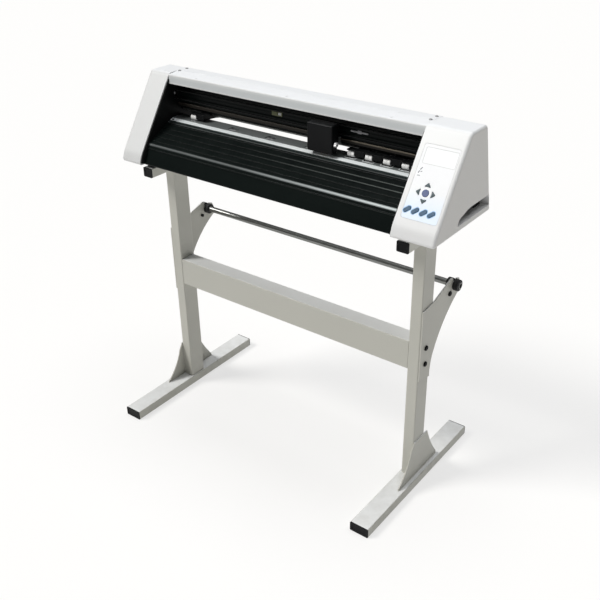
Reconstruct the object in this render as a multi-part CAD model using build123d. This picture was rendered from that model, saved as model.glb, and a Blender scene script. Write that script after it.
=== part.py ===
from build123d import *
import math
import os

# Floor-standing vinyl cutter: a slant-fronted cutting machine on two T-shaped legs.
# Millimetres. X runs along the machine, -Y is the operator's side, Z is up from the floor.
# The origin is the centre of the footprint, on the floor.

# ---- stand -----------------------------------------------------------------------------
FOOT_LENGTH = 480
FOOT_WIDTH = 50
FOOT_HEIGHT = 25
FOOT_OUTER_X = 406
TUBE_WALL = 2
UPRIGHT_OUTER_X = 391
UPRIGHT_WIDTH = 30
UPRIGHT_DEPTH = 50
UPRIGHT_Y = 7
RAIL_BOTTOM = 672
RAIL_HEIGHT = 25
RAIL_FRONT_Y = -93
RAIL_REAR_Y = 122
PLATE = 3
BEAM_BOTTOM = 335
BEAM_HEIGHT = 76
BEAM_DEPTH = 46
BOLT_Z = (BEAM_BOTTOM + 6 + 9, BEAM_BOTTOM + BEAM_HEIGHT - 17)
CAP_FLANGE = 2

# ---- media roll shaft ------------------------------------------------------------------
ROLL_Y = 126
ROLL_Z = 508
ROLL_RADIUS = 8
ROLL_HALF_LENGTH = 410
NOTCH_CLEARANCE = 0.3
TIP_BOLT = (104, 493)

# ---- machine casing --------------------------------------------------------------------
MACHINE_BOTTOM = 704
MACHINE_TOP = 911
TOE_Y = -107
REAR_FOOT_Y = 145
REAR_HEAD_Y = 95
MACHINE_LEFT = -455
MACHINE_RIGHT = 455
BAY_LEFT = -388
BAY_RIGHT = 351
CAP_WALL = 3
CAP_EDGE_RADIUS = 7
FRAME_PLATE = 3
LEFT_FRAME = (BAY_LEFT, BAY_LEFT + FRAME_PLATE)
RIGHT_FRAME = (BAY_RIGHT - FRAME_PLATE, BAY_RIGHT)
SLANT_FOOT = (-98, 729)
SLANT_HEAD = (23.3, 909)
SHELL = 2.5
COVER_LIP = (19.2, 886)
COVER_CREASE = (22.9, 906.6)
COVER_CROWN = (58, 910.2)
COVER_REAR_Z = (909.8, 884)
COVER_SCREW_Y = (54, 80)
COVER_RIB_X = (-300, -18, 263)
REAR_PANEL_Z = (790, 899)
TRAY_REAR = (134, 714)
GUIDE_BENDS = ((97, 762), (131, 732))
GUIDE_FOOT = (141, 706.5)
APRON_RIDGE = (-69.3, 752.5)
APRON_TOP = (0.6, 789)
APRON_RIBS = (0.14, 0.34, 0.54, 0.74, 0.94)

# ---- cutting bay -----------------------------------------------------------------------
PLATEN_Z = 798.5
PLATEN_REAR = 60
STRIP_FRONT = (2.6, 792.7)
STRIP_WIDTH = 17
STRIP_THICK = 1.5
STRIP_TILT = 20
GRIT_Y = 36.3
GRIT_RADIUS = 9.5
GRIT_SHAFT_RADIUS = 5
BEARING_RADIUS = 11
GRIT_Z = PLATEN_Z - GRIT_RADIUS
RUNNING = 0.05
FREE = 0.3
WHEEL_RADIUS = 7.5
WHEEL_Z = PLATEN_Z + WHEEL_RADIUS + FREE
WHEEL_WIDTH = 18
PINCH_X = (-320, 161, 208, 255, 302)
IDLE_GRIT_X = (-190, -72, 46)
PIVOT = (62, 812)
PIVOT_RADIUS = 3
CAM = (100, 808)
CAM_RADIUS = 4
LEVER_X = 334

# ---- carriage and its beam -------------------------------------------------------------
BEAM_FRONT_Y = 47
BEAM_REAR_Y = 87
BEAM_Z = (820, 866)
RAIL_Z = (825, 833.5)
RAIL_THICK = 4
RAIL_LIP = 2.5
BELT_Y = (36, 42)
BELT_THICK = 1.4
CARRIAGE_PULLEY_RADIUS = 9.55
CARRIAGE_PULLEY_Z = 855
DRIVE_PULLEY_X = 376
IDLER_X = -402
CARRIAGE_X = 94
CARRIAGE_HALF = 35
CARRIAGE_FRONT = 2.6
CARRIAGE_Z = (805, 871)
TOOL_Y = 12
TOOL_DROP = 3.5
KNOB_Z = 828
CARRIAGE_MOTOR_Y = 58

# ---- feed drive ------------------------------------------------------------------------
FEED_PULLEY_RADIUS = 19.1
MOTOR_PULLEY_RADIUS = 6.4
FEED_PULLEY_X = (366, 376)
FEED_MOTOR = (92, 750)
FEED_MOTOR_X = 382
MOTOR_SIZE = 42
MOTOR_LENGTH = 40

# ---- control panel ---------------------------------------------------------------------
PANEL_X = (362, 446)
PANEL_S = (22, 182)
LCD_X = (370, 442)
LCD_S = (141, 174)
PAD_X = 399.3
PAD_S = 81
ARROW_OFFSET = 16.5
ARROW_REACH = 5.8
ARROW_HALF_WIDTH = 8
FUNCTION_S = 41.5
FUNCTION_X = (371.6, 390.1, 408.9, 427.1)
FUNCTION_KEY = (18, 8.5)
FUNCTION_TILT = 40
KEY_CLEARANCE = 0.4
KEY_PROUD = 1.4
KEY_DEPTH = 4.6
OVERLAY_THICK = 1.2

# ---- connector bay: (y, z, width, height) of each opening in its floor ------------------
RECESS_DEPTH = 20
RECESS_FLOOR = MACHINE_RIGHT - RECESS_DEPTH
INLET = (110, 732, 27, 20)
SERIAL = (70, 731, 31, 12)
USB = (40, 731, 12, 11)
SWITCH = (18, 729, 14, 16)
PORTS = (INLET, SERIAL, USB, SWITCH)
SWITCH_X = RECESS_FLOOR + 2
SWITCH_THROW = 16
SWITCH_PIN_RADIUS = 0.9


def block(x0, x1, y0, y1, z0, z1):
    size = (x1 - x0, y1 - y0, z1 - z0)
    return Pos((x0 + x1) / 2, (y0 + y1) / 2, (z0 + z1) / 2) * Box(*size)


def rod_x(x0, x1, y, z, radius):
    return Pos((x0 + x1) / 2, y, z) * Rot(0, 90, 0) * Cylinder(radius, x1 - x0)


def rod_y(x, y0, y1, z, radius):
    return Pos(x, (y0 + y1) / 2, z) * Rot(90, 0, 0) * Cylinder(radius, y1 - y0)


def rod_z(x, y, z0, z1, radius):
    return Pos(x, y, (z0 + z1) / 2) * Cylinder(radius, z1 - z0)


def along_x(section, x0, x1):
    """Extrude a section drawn in (y, z) from x0 to x1."""
    place = Plane(origin=(x0, 0, 0), x_dir=(0, 1, 0), z_dir=(1, 0, 0))
    return extrude(place * section, x1 - x0)


def along_y(section, y0, y1):
    """Extrude a section drawn in (x, z) from y0 to y1."""
    place = Plane(origin=(0, y1, 0), x_dir=(1, 0, 0), z_dir=(0, -1, 0))
    return extrude(place * section, y1 - y0)


def polygon(points):
    return make_face(Polyline(*points, close=True))


def rounded_polygon(points, radii):
    """A closed outline with a radius of its own at each corner."""
    face = polygon(points)
    for point, radius in zip(points, radii):
        if radius:
            corner = face.vertices().sort_by_distance((point[0], point[1], 0))[0]
            face = fillet(corner, radius)
    return face


def strip_section(points, radii, thickness):
    """Sheet bent along a polyline that is its middle line."""
    return trace(FilletPolyline(*points, radius=radii), thickness)


def ring_x(x0, x1, y, z, outer, inner):
    return rod_x(x0, x1, y, z, outer) - rod_x(x0 - 1, x1 + 1, y, z, inner)


def group(solids):
    return Compound(children=[s for shape in solids for s in shape.solids()])


def mirrored(shape):
    return mirror(shape, Plane.YZ)


def both_sides(shape):
    return group([mirrored(shape), shape])


# ---- stand -----------------------------------------------------------------------------

def rect_tube(width, height, wall, corner):
    outer = RectangleRounded(width, height, corner)
    return outer - RectangleRounded(width - 2 * wall, height - 2 * wall, corner - wall / 2)


def foot_tube():
    centre = (FOOT_OUTER_X - FOOT_WIDTH / 2, FOOT_HEIGHT / 2)
    section = Pos(*centre) * rect_tube(FOOT_WIDTH, FOOT_HEIGHT, TUBE_WALL, 3)
    half = FOOT_LENGTH / 2 - CAP_FLANGE
    return along_y(section, -half, half)


def tube_plug(x, z, width, height, y, inward):
    """A moulded plug: a flange over the tube's end and a shallow boss inside it."""
    flange = RectangleRounded(width, height, 3)
    boss = RectangleRounded(width - 2 * TUBE_WALL - 0.4, height - 2 * TUBE_WALL - 0.4, 1.5)
    y0, y1 = sorted((y, y - inward * CAP_FLANGE))
    b0, b1 = sorted((y, y + inward * 12))
    plug = along_y(Pos(x, z) * flange, y0, y1) + along_y(Pos(x, z) * boss, b0, b1)
    dish = along_y(Pos(x, z) * RectangleRounded(width - 10, height - 10, 2),
                   *sorted((y - inward * CAP_FLANGE, y - inward * (CAP_FLANGE - 0.8))))
    return plug - dish


def foot_end_caps():
    half = FOOT_LENGTH / 2 - CAP_FLANGE
    x = FOOT_OUTER_X - FOOT_WIDTH / 2
    args = (x, FOOT_HEIGHT / 2, FOOT_WIDTH, FOOT_HEIGHT)
    return group([tube_plug(*args, -half, 1), tube_plug(*args, half, -1)])


def upright():
    x = UPRIGHT_OUTER_X - UPRIGHT_WIDTH / 2
    section = Pos(x, UPRIGHT_Y) * rect_tube(UPRIGHT_WIDTH, UPRIGHT_DEPTH, TUBE_WALL, 3)
    tube = Pos(0, 0, FOOT_HEIGHT) * extrude(section, RAIL_BOTTOM - FOOT_HEIGHT)
    for z in BOLT_Z:
        tube -= rod_x(x - 30, x + 30, UPRIGHT_Y - 2, z, 4.2)
    return tube


def cross_beam():
    half = UPRIGHT_OUTER_X - UPRIGHT_WIDTH
    front = UPRIGHT_Y - UPRIGHT_DEPTH / 2 + 1
    centre = (front + BEAM_DEPTH / 2, BEAM_BOTTOM + BEAM_HEIGHT / 2)
    section = Pos(*centre) * rect_tube(BEAM_DEPTH, BEAM_HEIGHT, TUBE_WALL, 3)
    solid = Pos(*centre) * RectangleRounded(BEAM_DEPTH, BEAM_HEIGHT, 3)
    beam = along_x(section, -half, half)
    for x0 in (-half, half - PLATE):
        beam += along_x(solid, x0, x0 + PLATE)
    for z in BOLT_Z:
        beam -= rod_x(-half - 5, half + 5, UPRIGHT_Y - 2, z, 4.2)
    return beam


def gusset_plate():
    """Plate across the foot of the upright, with a hollow front edge."""
    low = FOOT_HEIGHT
    y0 = UPRIGHT_Y
    with BuildLine() as outline:
        Line((y0 - 92, low), (y0 + 92, low))
        Line((y0 + 92, low), (y0 + 90, low + 8))
        ThreePointArc((y0 + 90, low + 8), (y0 + 56, low + 62), (y0 + 37, low + 105))
        Line((y0 + 37, low + 105), (y0 - 25, low + 105))
        Line((y0 - 25, low + 105), (y0 - 37, low + 85))
        ThreePointArc((y0 - 37, low + 85), (y0 - 58, low + 40), (y0 - 90, low + 6))
        Line((y0 - 90, low + 6), (y0 - 92, low))
    return along_x(make_face(outline.line), UPRIGHT_OUTER_X, UPRIGHT_OUTER_X + PLATE)


def roll_bracket():
    """Side plate on the upright that sweeps back and up to a notch for the roll shaft."""
    front = UPRIGHT_Y - UPRIGHT_DEPTH / 2 + 1
    notch_half = ROLL_RADIUS + NOTCH_CLEARANCE
    with BuildLine() as outline:
        Line((front, 312), (front, 498))
        Line((front, 498), (31, 504))
        Line((31, 504), (108, 530))
        Line((108, 530), (148, 516))
        Line((148, 516), (162, 488))
        ThreePointArc((162, 488), (92, 436), (46, 372))
        ThreePointArc((46, 372), (34, 340), (31, 302))
        Line((31, 302), (front, 312))
    face = make_face(outline.line)
    face -= Pos(ROLL_Y, ROLL_Z) * Circle(notch_half)
    face -= Pos(ROLL_Y, ROLL_Z + 30) * Rectangle(2 * notch_half, 60)
    plate = along_x(face, UPRIGHT_OUTER_X, UPRIGHT_OUTER_X + PLATE)
    for z in BOLT_Z:
        plate -= rod_x(UPRIGHT_OUTER_X - 5, UPRIGHT_OUTER_X + 9, UPRIGHT_Y - 2, z, 4.2)
    return plate - rod_x(UPRIGHT_OUTER_X - 5, UPRIGHT_OUTER_X + 9, *TIP_BOLT, 4.2)


def top_rail():
    x = UPRIGHT_OUTER_X - UPRIGHT_WIDTH / 2
    section = Pos(x, RAIL_BOTTOM + RAIL_HEIGHT / 2) * rect_tube(UPRIGHT_WIDTH, RAIL_HEIGHT, TUBE_WALL, 3)
    return along_y(section, RAIL_FRONT_Y + CAP_FLANGE, RAIL_REAR_Y - CAP_FLANGE)


def rail_end_caps():
    x = UPRIGHT_OUTER_X - UPRIGHT_WIDTH / 2
    args = (x, RAIL_BOTTOM + RAIL_HEIGHT / 2, UPRIGHT_WIDTH, RAIL_HEIGHT)
    front = tube_plug(*args, RAIL_FRONT_Y + CAP_FLANGE, 1)
    rear = tube_plug(*args, RAIL_REAR_Y - CAP_FLANGE, -1)
    return group([front, rear])


def hex_bolt(x, y, z, shank):
    """Button-headed socket bolt, pointing along -X from a face at x."""
    head = rod_x(x, x + 4, y, z, 6.5)
    head = fillet(head.edges().filter_by(GeomType.CIRCLE).sort_by(Axis.X)[-1], 2.4)
    socket = Pos(x + 4, y, z) * Rot(0, 90, 0) * extrude(RegularPolygon(2.6, 6), 2.2, both=True)
    return head + rod_x(x - shank, x, y, z, 4) - socket


def frame_bolts():
    face = UPRIGHT_OUTER_X + PLATE
    bolts = [hex_bolt(face, UPRIGHT_Y - 2, z, 45) for z in BOLT_Z]
    bolts.append(hex_bolt(face, *TIP_BOLT, 8))
    return group(bolts)


def rubber_foot(x, y):
    body = rod_z(x, y, RAIL_BOTTOM + RAIL_HEIGHT, MACHINE_BOTTOM, 12)
    return fillet(body.edges().filter_by(GeomType.CIRCLE).sort_by(Axis.Z)[0], 1.5)


def rubber_feet():
    x = UPRIGHT_OUTER_X - UPRIGHT_WIDTH / 2
    return group([rubber_foot(x, y) for y in (-74, 100)])


def roll_shaft():
    tube = rod_x(-ROLL_HALF_LENGTH, ROLL_HALF_LENGTH, ROLL_Y, ROLL_Z, ROLL_RADIUS)
    return tube - rod_x(-ROLL_HALF_LENGTH - 1, ROLL_HALF_LENGTH + 1, ROLL_Y, ROLL_Z, ROLL_RADIUS - 1.5)


def shaft_collar(x0, x1):
    collar = ring_x(x0, x1, ROLL_Y, ROLL_Z, 14, ROLL_RADIUS)
    rims = collar.edges().filter_by(GeomType.CIRCLE)
    outer = [edge for edge in rims if edge.radius > 13]
    return fillet(outer, 1.5)


def shaft_collars():
    inside = shaft_collar(UPRIGHT_OUTER_X - 14, UPRIGHT_OUTER_X - 1)
    outside = shaft_collar(UPRIGHT_OUTER_X + PLATE + 1, UPRIGHT_OUTER_X + PLATE + 14)
    return group([inside, outside])


# ---- casing ----------------------------------------------------------------------------

def slant_y(z):
    slope = (SLANT_HEAD[0] - SLANT_FOOT[0]) / (SLANT_HEAD[1] - SLANT_FOOT[1])
    return SLANT_FOOT[0] + (z - SLANT_FOOT[1]) * slope


def rear_y(z):
    """The sloping back of the casing at a height."""
    lean = (REAR_FOOT_Y - REAR_HEAD_Y) / (MACHINE_TOP - MACHINE_BOTTOM)
    return REAR_FOOT_Y - (z - MACHINE_BOTTOM) * lean


def side_profile(inset):
    """End profile of the machine: short upright toe, long slant, narrow flat top, leaning back."""
    low = MACHINE_BOTTOM + inset
    high = MACHINE_TOP - inset
    points = [(TOE_Y + inset, low),
              (SLANT_FOOT[0] + inset, SLANT_FOOT[1]),
              (slant_y(MACHINE_TOP) + inset * 0.7, high),
              (rear_y(high) - inset, high),
              (rear_y(low) - inset, low)]
    radii = [6 - inset / 2, 60, 16 - inset, 12 - inset, 5 - inset / 2]
    return rounded_polygon(points, radii)


def cap_shell(x_open, x_closed):
    """Moulded end cap, open towards the bay, with rounded outer edges."""
    low, high = sorted((x_open, x_closed))
    outward = 1 if x_closed > x_open else -1
    body = along_x(side_profile(0), low, high)
    rim = body.faces().sort_by(Axis.X)[-1 if outward > 0 else 0].edges()
    body = fillet(rim, CAP_EDGE_RADIUS)
    hollow = along_x(side_profile(CAP_WALL), *sorted((x_open - outward, x_closed - outward * CAP_WALL)))
    return body - hollow


def port_recess(grow):
    """Outline, in (y, z), of the connector bay low on the right end."""
    points = [(-12 - grow, 719.5 - grow), (136 + grow, 719.5 - grow),
              (129 + grow, 746 + grow), (40, 746 + grow), (-2 - grow, 735 + grow)]
    return rounded_polygon(points, [4, 4, 8, 60, 9])


def on_panel(shape):
    """Move a shape drawn as (x, distance up the slope, height) on to the slanted face."""
    rise = SLANT_HEAD[1] - SLANT_FOOT[1]
    run = SLANT_HEAD[0] - SLANT_FOOT[0]
    length = math.hypot(rise, run)
    origin = (0, SLANT_FOOT[0], SLANT_FOOT[1])
    return Plane(origin=origin, x_dir=(1, 0, 0), z_dir=(0, -rise / length, run / length)) * shape


def panel_outline(grow):
    width = PANEL_X[1] - PANEL_X[0] + 2 * grow
    height = PANEL_S[1] - PANEL_S[0] + 2 * grow
    centre = (sum(PANEL_X) / 2, sum(PANEL_S) / 2)
    return Pos(*centre) * RectangleRounded(width, height, 6)


def lcd_outline(grow):
    size = (LCD_X[1] - LCD_X[0] + 2 * grow, LCD_S[1] - LCD_S[0] + 2 * grow)
    return Pos(sum(LCD_X) / 2, sum(LCD_S) / 2) * RectangleRounded(*size, 1.5)


def arrow_key(angle, grow):
    """A blunt arrow head, pointing away from the pad's centre."""
    tip = ARROW_OFFSET + ARROW_REACH
    base = ARROW_OFFSET - ARROW_REACH + 2
    points = [(tip, 0), (base, ARROW_HALF_WIDTH), (base + 1.6, 0), (base, -ARROW_HALF_WIDTH)]
    head = rounded_polygon(points, [1.5, 1, 3, 1])
    if grow:
        head = offset(head, grow, kind=Kind.ARC)
    return Pos(PAD_X, PAD_S) * Rot(0, 0, angle) * head


def centre_key(grow):
    return Pos(PAD_X, PAD_S) * Circle(7.6 + grow)


def function_key(x, grow):
    length, width = FUNCTION_KEY
    return Pos(x, FUNCTION_S) * Rot(0, 0, FUNCTION_TILT) * SlotOverall(length + 2 * grow, width + 2 * grow)


def key_outlines(grow):
    arrows = {"key_right": 0, "key_up": 90, "key_left": 180, "key_down": 270}
    keys = {name: arrow_key(angle, grow) for name, angle in arrows.items()}
    keys["key_centre"] = centre_key(grow)
    for number, x in enumerate(FUNCTION_X, 1):
        keys[f"key_function_{number}"] = function_key(x, grow)
    return keys


def panel_solid(outline, low, high):
    return on_panel(Pos(0, 0, low) * extrude(outline, high - low))


def key_holes():
    holes = [panel_solid(face, -12, 6) for face in key_outlines(KEY_CLEARANCE).values()]
    return group(holes)


def right_end_cap():
    cap = cap_shell(BAY_RIGHT, MACHINE_RIGHT)
    cap += along_x(port_recess(CAP_WALL), RECESS_FLOOR - CAP_WALL, MACHINE_RIGHT - 1)
    cap -= along_x(port_recess(0), RECESS_FLOOR, MACHINE_RIGHT + 5)
    cap -= panel_solid(panel_outline(0.2), -OVERLAY_THICK, 6)
    cap -= panel_solid(lcd_outline(-3), -12, 6)
    cap -= key_holes()
    for y, z, width, height in PORTS:
        cap -= block(RECESS_FLOOR - 8, RECESS_FLOOR + 2, y - width / 2, y + width / 2,
                     z - height / 2, z + height / 2)
    return cap


def left_end_cap():
    return cap_shell(BAY_LEFT, MACHINE_LEFT)


def side_frame(x0, x1):
    """Steel side plate of the bay, following the casing just inside it."""
    plate = along_x(side_profile(SHELL + 1), x0, x1)
    plate -= rod_x(x0 - 1, x1 + 1, GRIT_Y, GRIT_Z, BEARING_RADIUS)
    plate -= rod_x(x0 - 1, x1 + 1, *CAM, CAM_RADIUS + RUNNING)
    plate -= rod_x(x0 - 1, x1 + 1, *PIVOT, PIVOT_RADIUS)
    plate -= block(x0 - 1, x1 + 1, BELT_Y[0] - 3, BELT_Y[1] + 2, CARRIAGE_PULLEY_Z - 13,
                   CARRIAGE_PULLEY_Z + 13)
    plate -= along_x(cover_section(SHELL + 0.2), x0 - 1, x1 + 1)
    return plate.solids().sort_by(SortBy.VOLUME)[-1]


def left_side_frame():
    plate = side_frame(*LEFT_FRAME)
    arm = block(IDLER_X - 10, LEFT_FRAME[0], BELT_Y[1] + 4, BELT_Y[1] + 7, CARRIAGE_PULLEY_Z - 10,
                CARRIAGE_PULLEY_Z + 10)
    pin = rod_y(IDLER_X, BELT_Y[0] - 3, BELT_Y[1] + 5, CARRIAGE_PULLEY_Z, 2.5)
    return plate + arm + pin


def right_side_frame():
    plate = side_frame(*RIGHT_FRAME)
    half = 15.5
    for dy in (-half, half):
        for dz in (-half, half):
            plate += rod_x(RIGHT_FRAME[1], FEED_MOTOR_X, FEED_MOTOR[0] + dy, FEED_MOTOR[1] + dz, 3)
    return plate


def cover_section(thickness):
    """Bent sheet: a narrow fascia, a crease, a slightly crowned top and a short leaning back."""
    rear = [(rear_y(z) - SHELL / 2, z) for z in COVER_REAR_Z]
    points = [COVER_LIP, COVER_CREASE, COVER_CROWN, *rear]
    return strip_section(points, (2, 60, 8), thickness)


def screw_spots():
    return [(x, y) for x in (BAY_LEFT + 8, BAY_RIGHT - 8) for y in COVER_SCREW_Y]


def top_cover():
    cover = along_x(cover_section(SHELL), BAY_LEFT, BAY_RIGHT)
    for x in COVER_RIB_X:
        cover += block(x - 1.5, x + 1.5, 28, 90, 896, 909.2)
    for x, y in screw_spots():
        cover -= rod_z(x, y, 900, 920, 1.7)
    return cover


def rear_panel():
    """Leaning back sheet with a turned-in lower lip and a slot for the lever."""
    low, high = REAR_PANEL_Z
    points = [(rear_y(low) - 12, low), (rear_y(low) - 4, low), (rear_y(high) - 4, high)]
    panel = along_x(strip_section(points, 2.2, 2), LEFT_FRAME[1], RIGHT_FRAME[0])
    return panel - block(LEVER_X - 9, LEVER_X + 9, 90, 150, low + 3, 842)


def base_tray():
    points = [(-66, 718), (-66, 705.2), (TRAY_REAR[0], 705.2), TRAY_REAR]
    section = strip_section(points, (2, 2), 2)
    return along_x(section, LEFT_FRAME[1], RIGHT_FRAME[0])


def front_apron():
    """Black extrusion: smooth lower face, rounded ridge, ribbed slope up to the platen."""
    points = [(-69, 705.5), (-93.4, 705.5), APRON_RIDGE, APRON_TOP]
    section = strip_section(points, (2.5, 9), SHELL)
    for along in APRON_RIBS:
        section += apron_bead(APRON_RIDGE, APRON_TOP, along, 1.8)
    section += apron_bead(points[1], APRON_RIDGE, 0.78, 1.6)
    return along_x(section, LEFT_FRAME[1], RIGHT_FRAME[0])


def apron_bead(start, end, along, radius):
    """Round bead on the outer face of one run of the apron, part way along it."""
    run = (end[0] - start[0], end[1] - start[1])
    length = math.hypot(*run)
    y = start[0] + run[0] * along - SHELL / 2 * run[1] / length
    z = start[1] + run[1] * along + SHELL / 2 * run[0] / length
    return Pos(y, z) * Circle(radius)


def pan_screw(x, y, z):
    head = rod_z(x, y, z, z + 1.6, 3.8)
    head = fillet(head.edges().filter_by(GeomType.CIRCLE).sort_by(Axis.Z)[-1], 1)
    cross = block(x - 2.2, x + 2.2, y - 0.5, y + 0.5, z + 0.7, z + 2)
    cross += block(x - 0.5, x + 0.5, y - 2.2, y + 2.2, z + 0.7, z + 2)
    return head + rod_z(x, y, z - 9, z, 1.6) - cross


def cover_screws():
    return group([pan_screw(x, y, COVER_CROWN[1] + SHELL / 2 - 0.1) for x, y in screw_spots()])


# ---- media path ------------------------------------------------------------------------

def grit_x():
    return sorted(PINCH_X + IDLE_GRIT_X)


def platen():
    tilt = math.radians(STRIP_TILT)
    end = (STRIP_FRONT[0] + STRIP_WIDTH * math.cos(tilt), STRIP_FRONT[1] + STRIP_WIDTH * math.sin(tilt))
    under = (STRIP_THICK * math.sin(tilt), -STRIP_THICK * math.cos(tilt))
    a = (STRIP_FRONT[0] + under[0], STRIP_FRONT[1] + under[1])
    b = (end[0] + under[0], end[1] + under[1])
    lip = polygon([a, b, (b[0], b[1] - 3), (a[0], a[1] - 3)])
    plate = block(LEFT_FRAME[1], RIGHT_FRAME[0], b[0], PLATEN_REAR, PLATEN_Z - 3, PLATEN_Z)
    plate += along_x(lip, LEFT_FRAME[1], RIGHT_FRAME[0])
    for y in (b[0], PLATEN_REAR - 2.5):
        plate += block(LEFT_FRAME[1], RIGHT_FRAME[0], y, y + 2.5, 768, PLATEN_Z - 1)
    for x in grit_x():
        plate -= block(x - 13, x + 13, GRIT_Y - 9.5, GRIT_Y + 9.5, PLATEN_Z - 5, PLATEN_Z + 1)
    return plate


def cutting_strip():
    tilt = math.radians(STRIP_TILT)
    across = (math.cos(tilt), math.sin(tilt))
    under = (STRIP_THICK * across[1], -STRIP_THICK * across[0])
    a = STRIP_FRONT
    b = (a[0] + STRIP_WIDTH * across[0], a[1] + STRIP_WIDTH * across[1])
    section = polygon([a, b, (b[0] + under[0], b[1] + under[1]), (a[0] + under[0], a[1] + under[1])])
    return along_x(section, LEFT_FRAME[1] + 2, RIGHT_FRAME[0] - 2)


def rear_guide():
    points = [(PLATEN_REAR + 1, PLATEN_Z - 3), *GUIDE_BENDS, GUIDE_FOOT]
    section = strip_section(points, (40, 20), 2)
    return along_x(section, LEFT_FRAME[1], RIGHT_FRAME[0])


def grit_shaft():
    return rod_x(LEFT_FRAME[0] - 8, FEED_PULLEY_X[1] + 4, GRIT_Y, GRIT_Z, GRIT_SHAFT_RADIUS)


def grit_rollers():
    return group([ring_x(x - 11, x + 11, GRIT_Y, GRIT_Z, GRIT_RADIUS, GRIT_SHAFT_RADIUS) for x in grit_x()])


def shaft_bearings():
    inner = GRIT_SHAFT_RADIUS + RUNNING
    left = ring_x(LEFT_FRAME[0] - 3, LEFT_FRAME[1], GRIT_Y, GRIT_Z, BEARING_RADIUS, inner)
    right = ring_x(RIGHT_FRAME[0], RIGHT_FRAME[1] + 3, GRIT_Y, GRIT_Z, BEARING_RADIUS, inner)
    return group([left, right])


def flanged_pulley_x(x0, x1, y, z, radius, bore):
    pulley = rod_x(x0, x1, y, z, radius)
    for edge in (x0, x1 - 1):
        pulley += rod_x(edge, edge + 1, y, z, radius + 2.5)
    return pulley - rod_x(x0 - 1, x1 + 1, y, z, bore)


def feed_pulley():
    return flanged_pulley_x(*FEED_PULLEY_X, GRIT_Y, GRIT_Z, FEED_PULLEY_RADIUS, GRIT_SHAFT_RADIUS)


def feed_motor_pulley():
    pulley = flanged_pulley_x(*FEED_PULLEY_X, *FEED_MOTOR, MOTOR_PULLEY_RADIUS, 2.5)
    return pulley + rod_x(FEED_PULLEY_X[0], FEED_MOTOR_X - FREE, *FEED_MOTOR, 2.5)


def belt_loop(first, second, grow):
    """Face between two pulleys, each (across, up, radius), grown by a margin."""
    circles = [Pos(a, b) * Circle(r + grow) for a, b, r in (first, second)]
    return make_hull([edge for circle in circles for edge in circle.edges()])


def feed_belt():
    ends = ((GRIT_Y, GRIT_Z, FEED_PULLEY_RADIUS), (*FEED_MOTOR, MOTOR_PULLEY_RADIUS))
    section = belt_loop(*ends, FREE + BELT_THICK) - belt_loop(*ends, FREE)
    return along_x(section, FEED_PULLEY_X[0] + 1 + FREE, FEED_PULLEY_X[1] - 1 - FREE)


def stepper_x(x0, y, z):
    """Square stepper motor with its shaft along X, its face at x0."""
    section = Pos(y, z) * RectangleRounded(MOTOR_SIZE, MOTOR_SIZE, 4)
    core = Pos(y, z) * RectangleRounded(MOTOR_SIZE - 3, MOTOR_SIZE - 3, 4)
    body = along_x(section, x0, x0 + MOTOR_LENGTH)
    return body - along_x(section - core, x0 + 9, x0 + MOTOR_LENGTH - 9)


def feed_motor():
    return stepper_x(FEED_MOTOR_X, *FEED_MOTOR)


# ---- pinch rollers ---------------------------------------------------------------------

def pinch_arm(x):
    """Rocking arm: a hood over its wheel, a block beside it, and a tail to the cam."""
    left = x - WHEEL_WIDTH / 2 - 1
    right = left + 45
    cheek = left + WHEEL_WIDTH + 2
    hood = block(left, right, 29, 45.5, 815, 817.6)
    cheek_face = rounded_polygon([(29, 803), (29, 817.6), (67, 817.6), (75, 806), (103, 798), (103, 794.5),
                                  (76, 800), (56, 802)], [3, 3, 4, 6, 1, 1, 6, 4])
    arm = hood + along_x(cheek_face, cheek, right)
    arm -= rod_x(left - 1, right + 1, *PIVOT, PIVOT_RADIUS + RUNNING)
    arm -= rod_x(cheek - 1, cheek + 12, GRIT_Y, WHEEL_Z, 2 + RUNNING)
    return arm


def pinch_arms():
    return group([pinch_arm(x) for x in PINCH_X])


def pinch_wheel(x):
    wheel = rod_x(x - WHEEL_WIDTH / 2, x + WHEEL_WIDTH / 2, GRIT_Y, WHEEL_Z, WHEEL_RADIUS)
    wheel = fillet(wheel.edges().filter_by(GeomType.CIRCLE), 1.2)
    groove = ring_x(x - 0.6, x + 0.6, GRIT_Y, WHEEL_Z, WHEEL_RADIUS + 1, WHEEL_RADIUS - 0.7)
    return wheel + rod_x(x, x + WHEEL_WIDTH / 2 + 11, GRIT_Y, WHEEL_Z, 2) - groove


def pinch_wheels():
    return group([pinch_wheel(x) for x in PINCH_X])


def pivot_bar():
    return rod_x(LEFT_FRAME[0], RIGHT_FRAME[1], *PIVOT, PIVOT_RADIUS)


def pinch_lever():
    """Cam bar behind the arms, turned by a lever that reaches out of the back."""
    bar = rod_x(LEFT_FRAME[0] - 2, RIGHT_FRAME[1] + 2, *CAM, CAM_RADIUS)
    y, z = CAM
    for x in PINCH_X:
        nose = rounded_polygon([(y, z + 4), (y - 9, z + 2), (y - 11, z), (y - 9, z - 2), (y, z - 4)],
                               [0, 1, 1, 1, 0])
        bar += along_x(nose, x + 12, x + 26)
    handle = rounded_polygon([(y - 5, z - 6), (y + 4, z + 7), (y + 58, z - 4),
                              (y + 60, z - 15), (y + 50, z - 16)],
                             [4, 5, 4, 4, 4])
    bar += along_x(handle, LEVER_X - 5, LEVER_X + 5)
    return bar


# ---- beam, belt and carriage -----------------------------------------------------------

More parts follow.
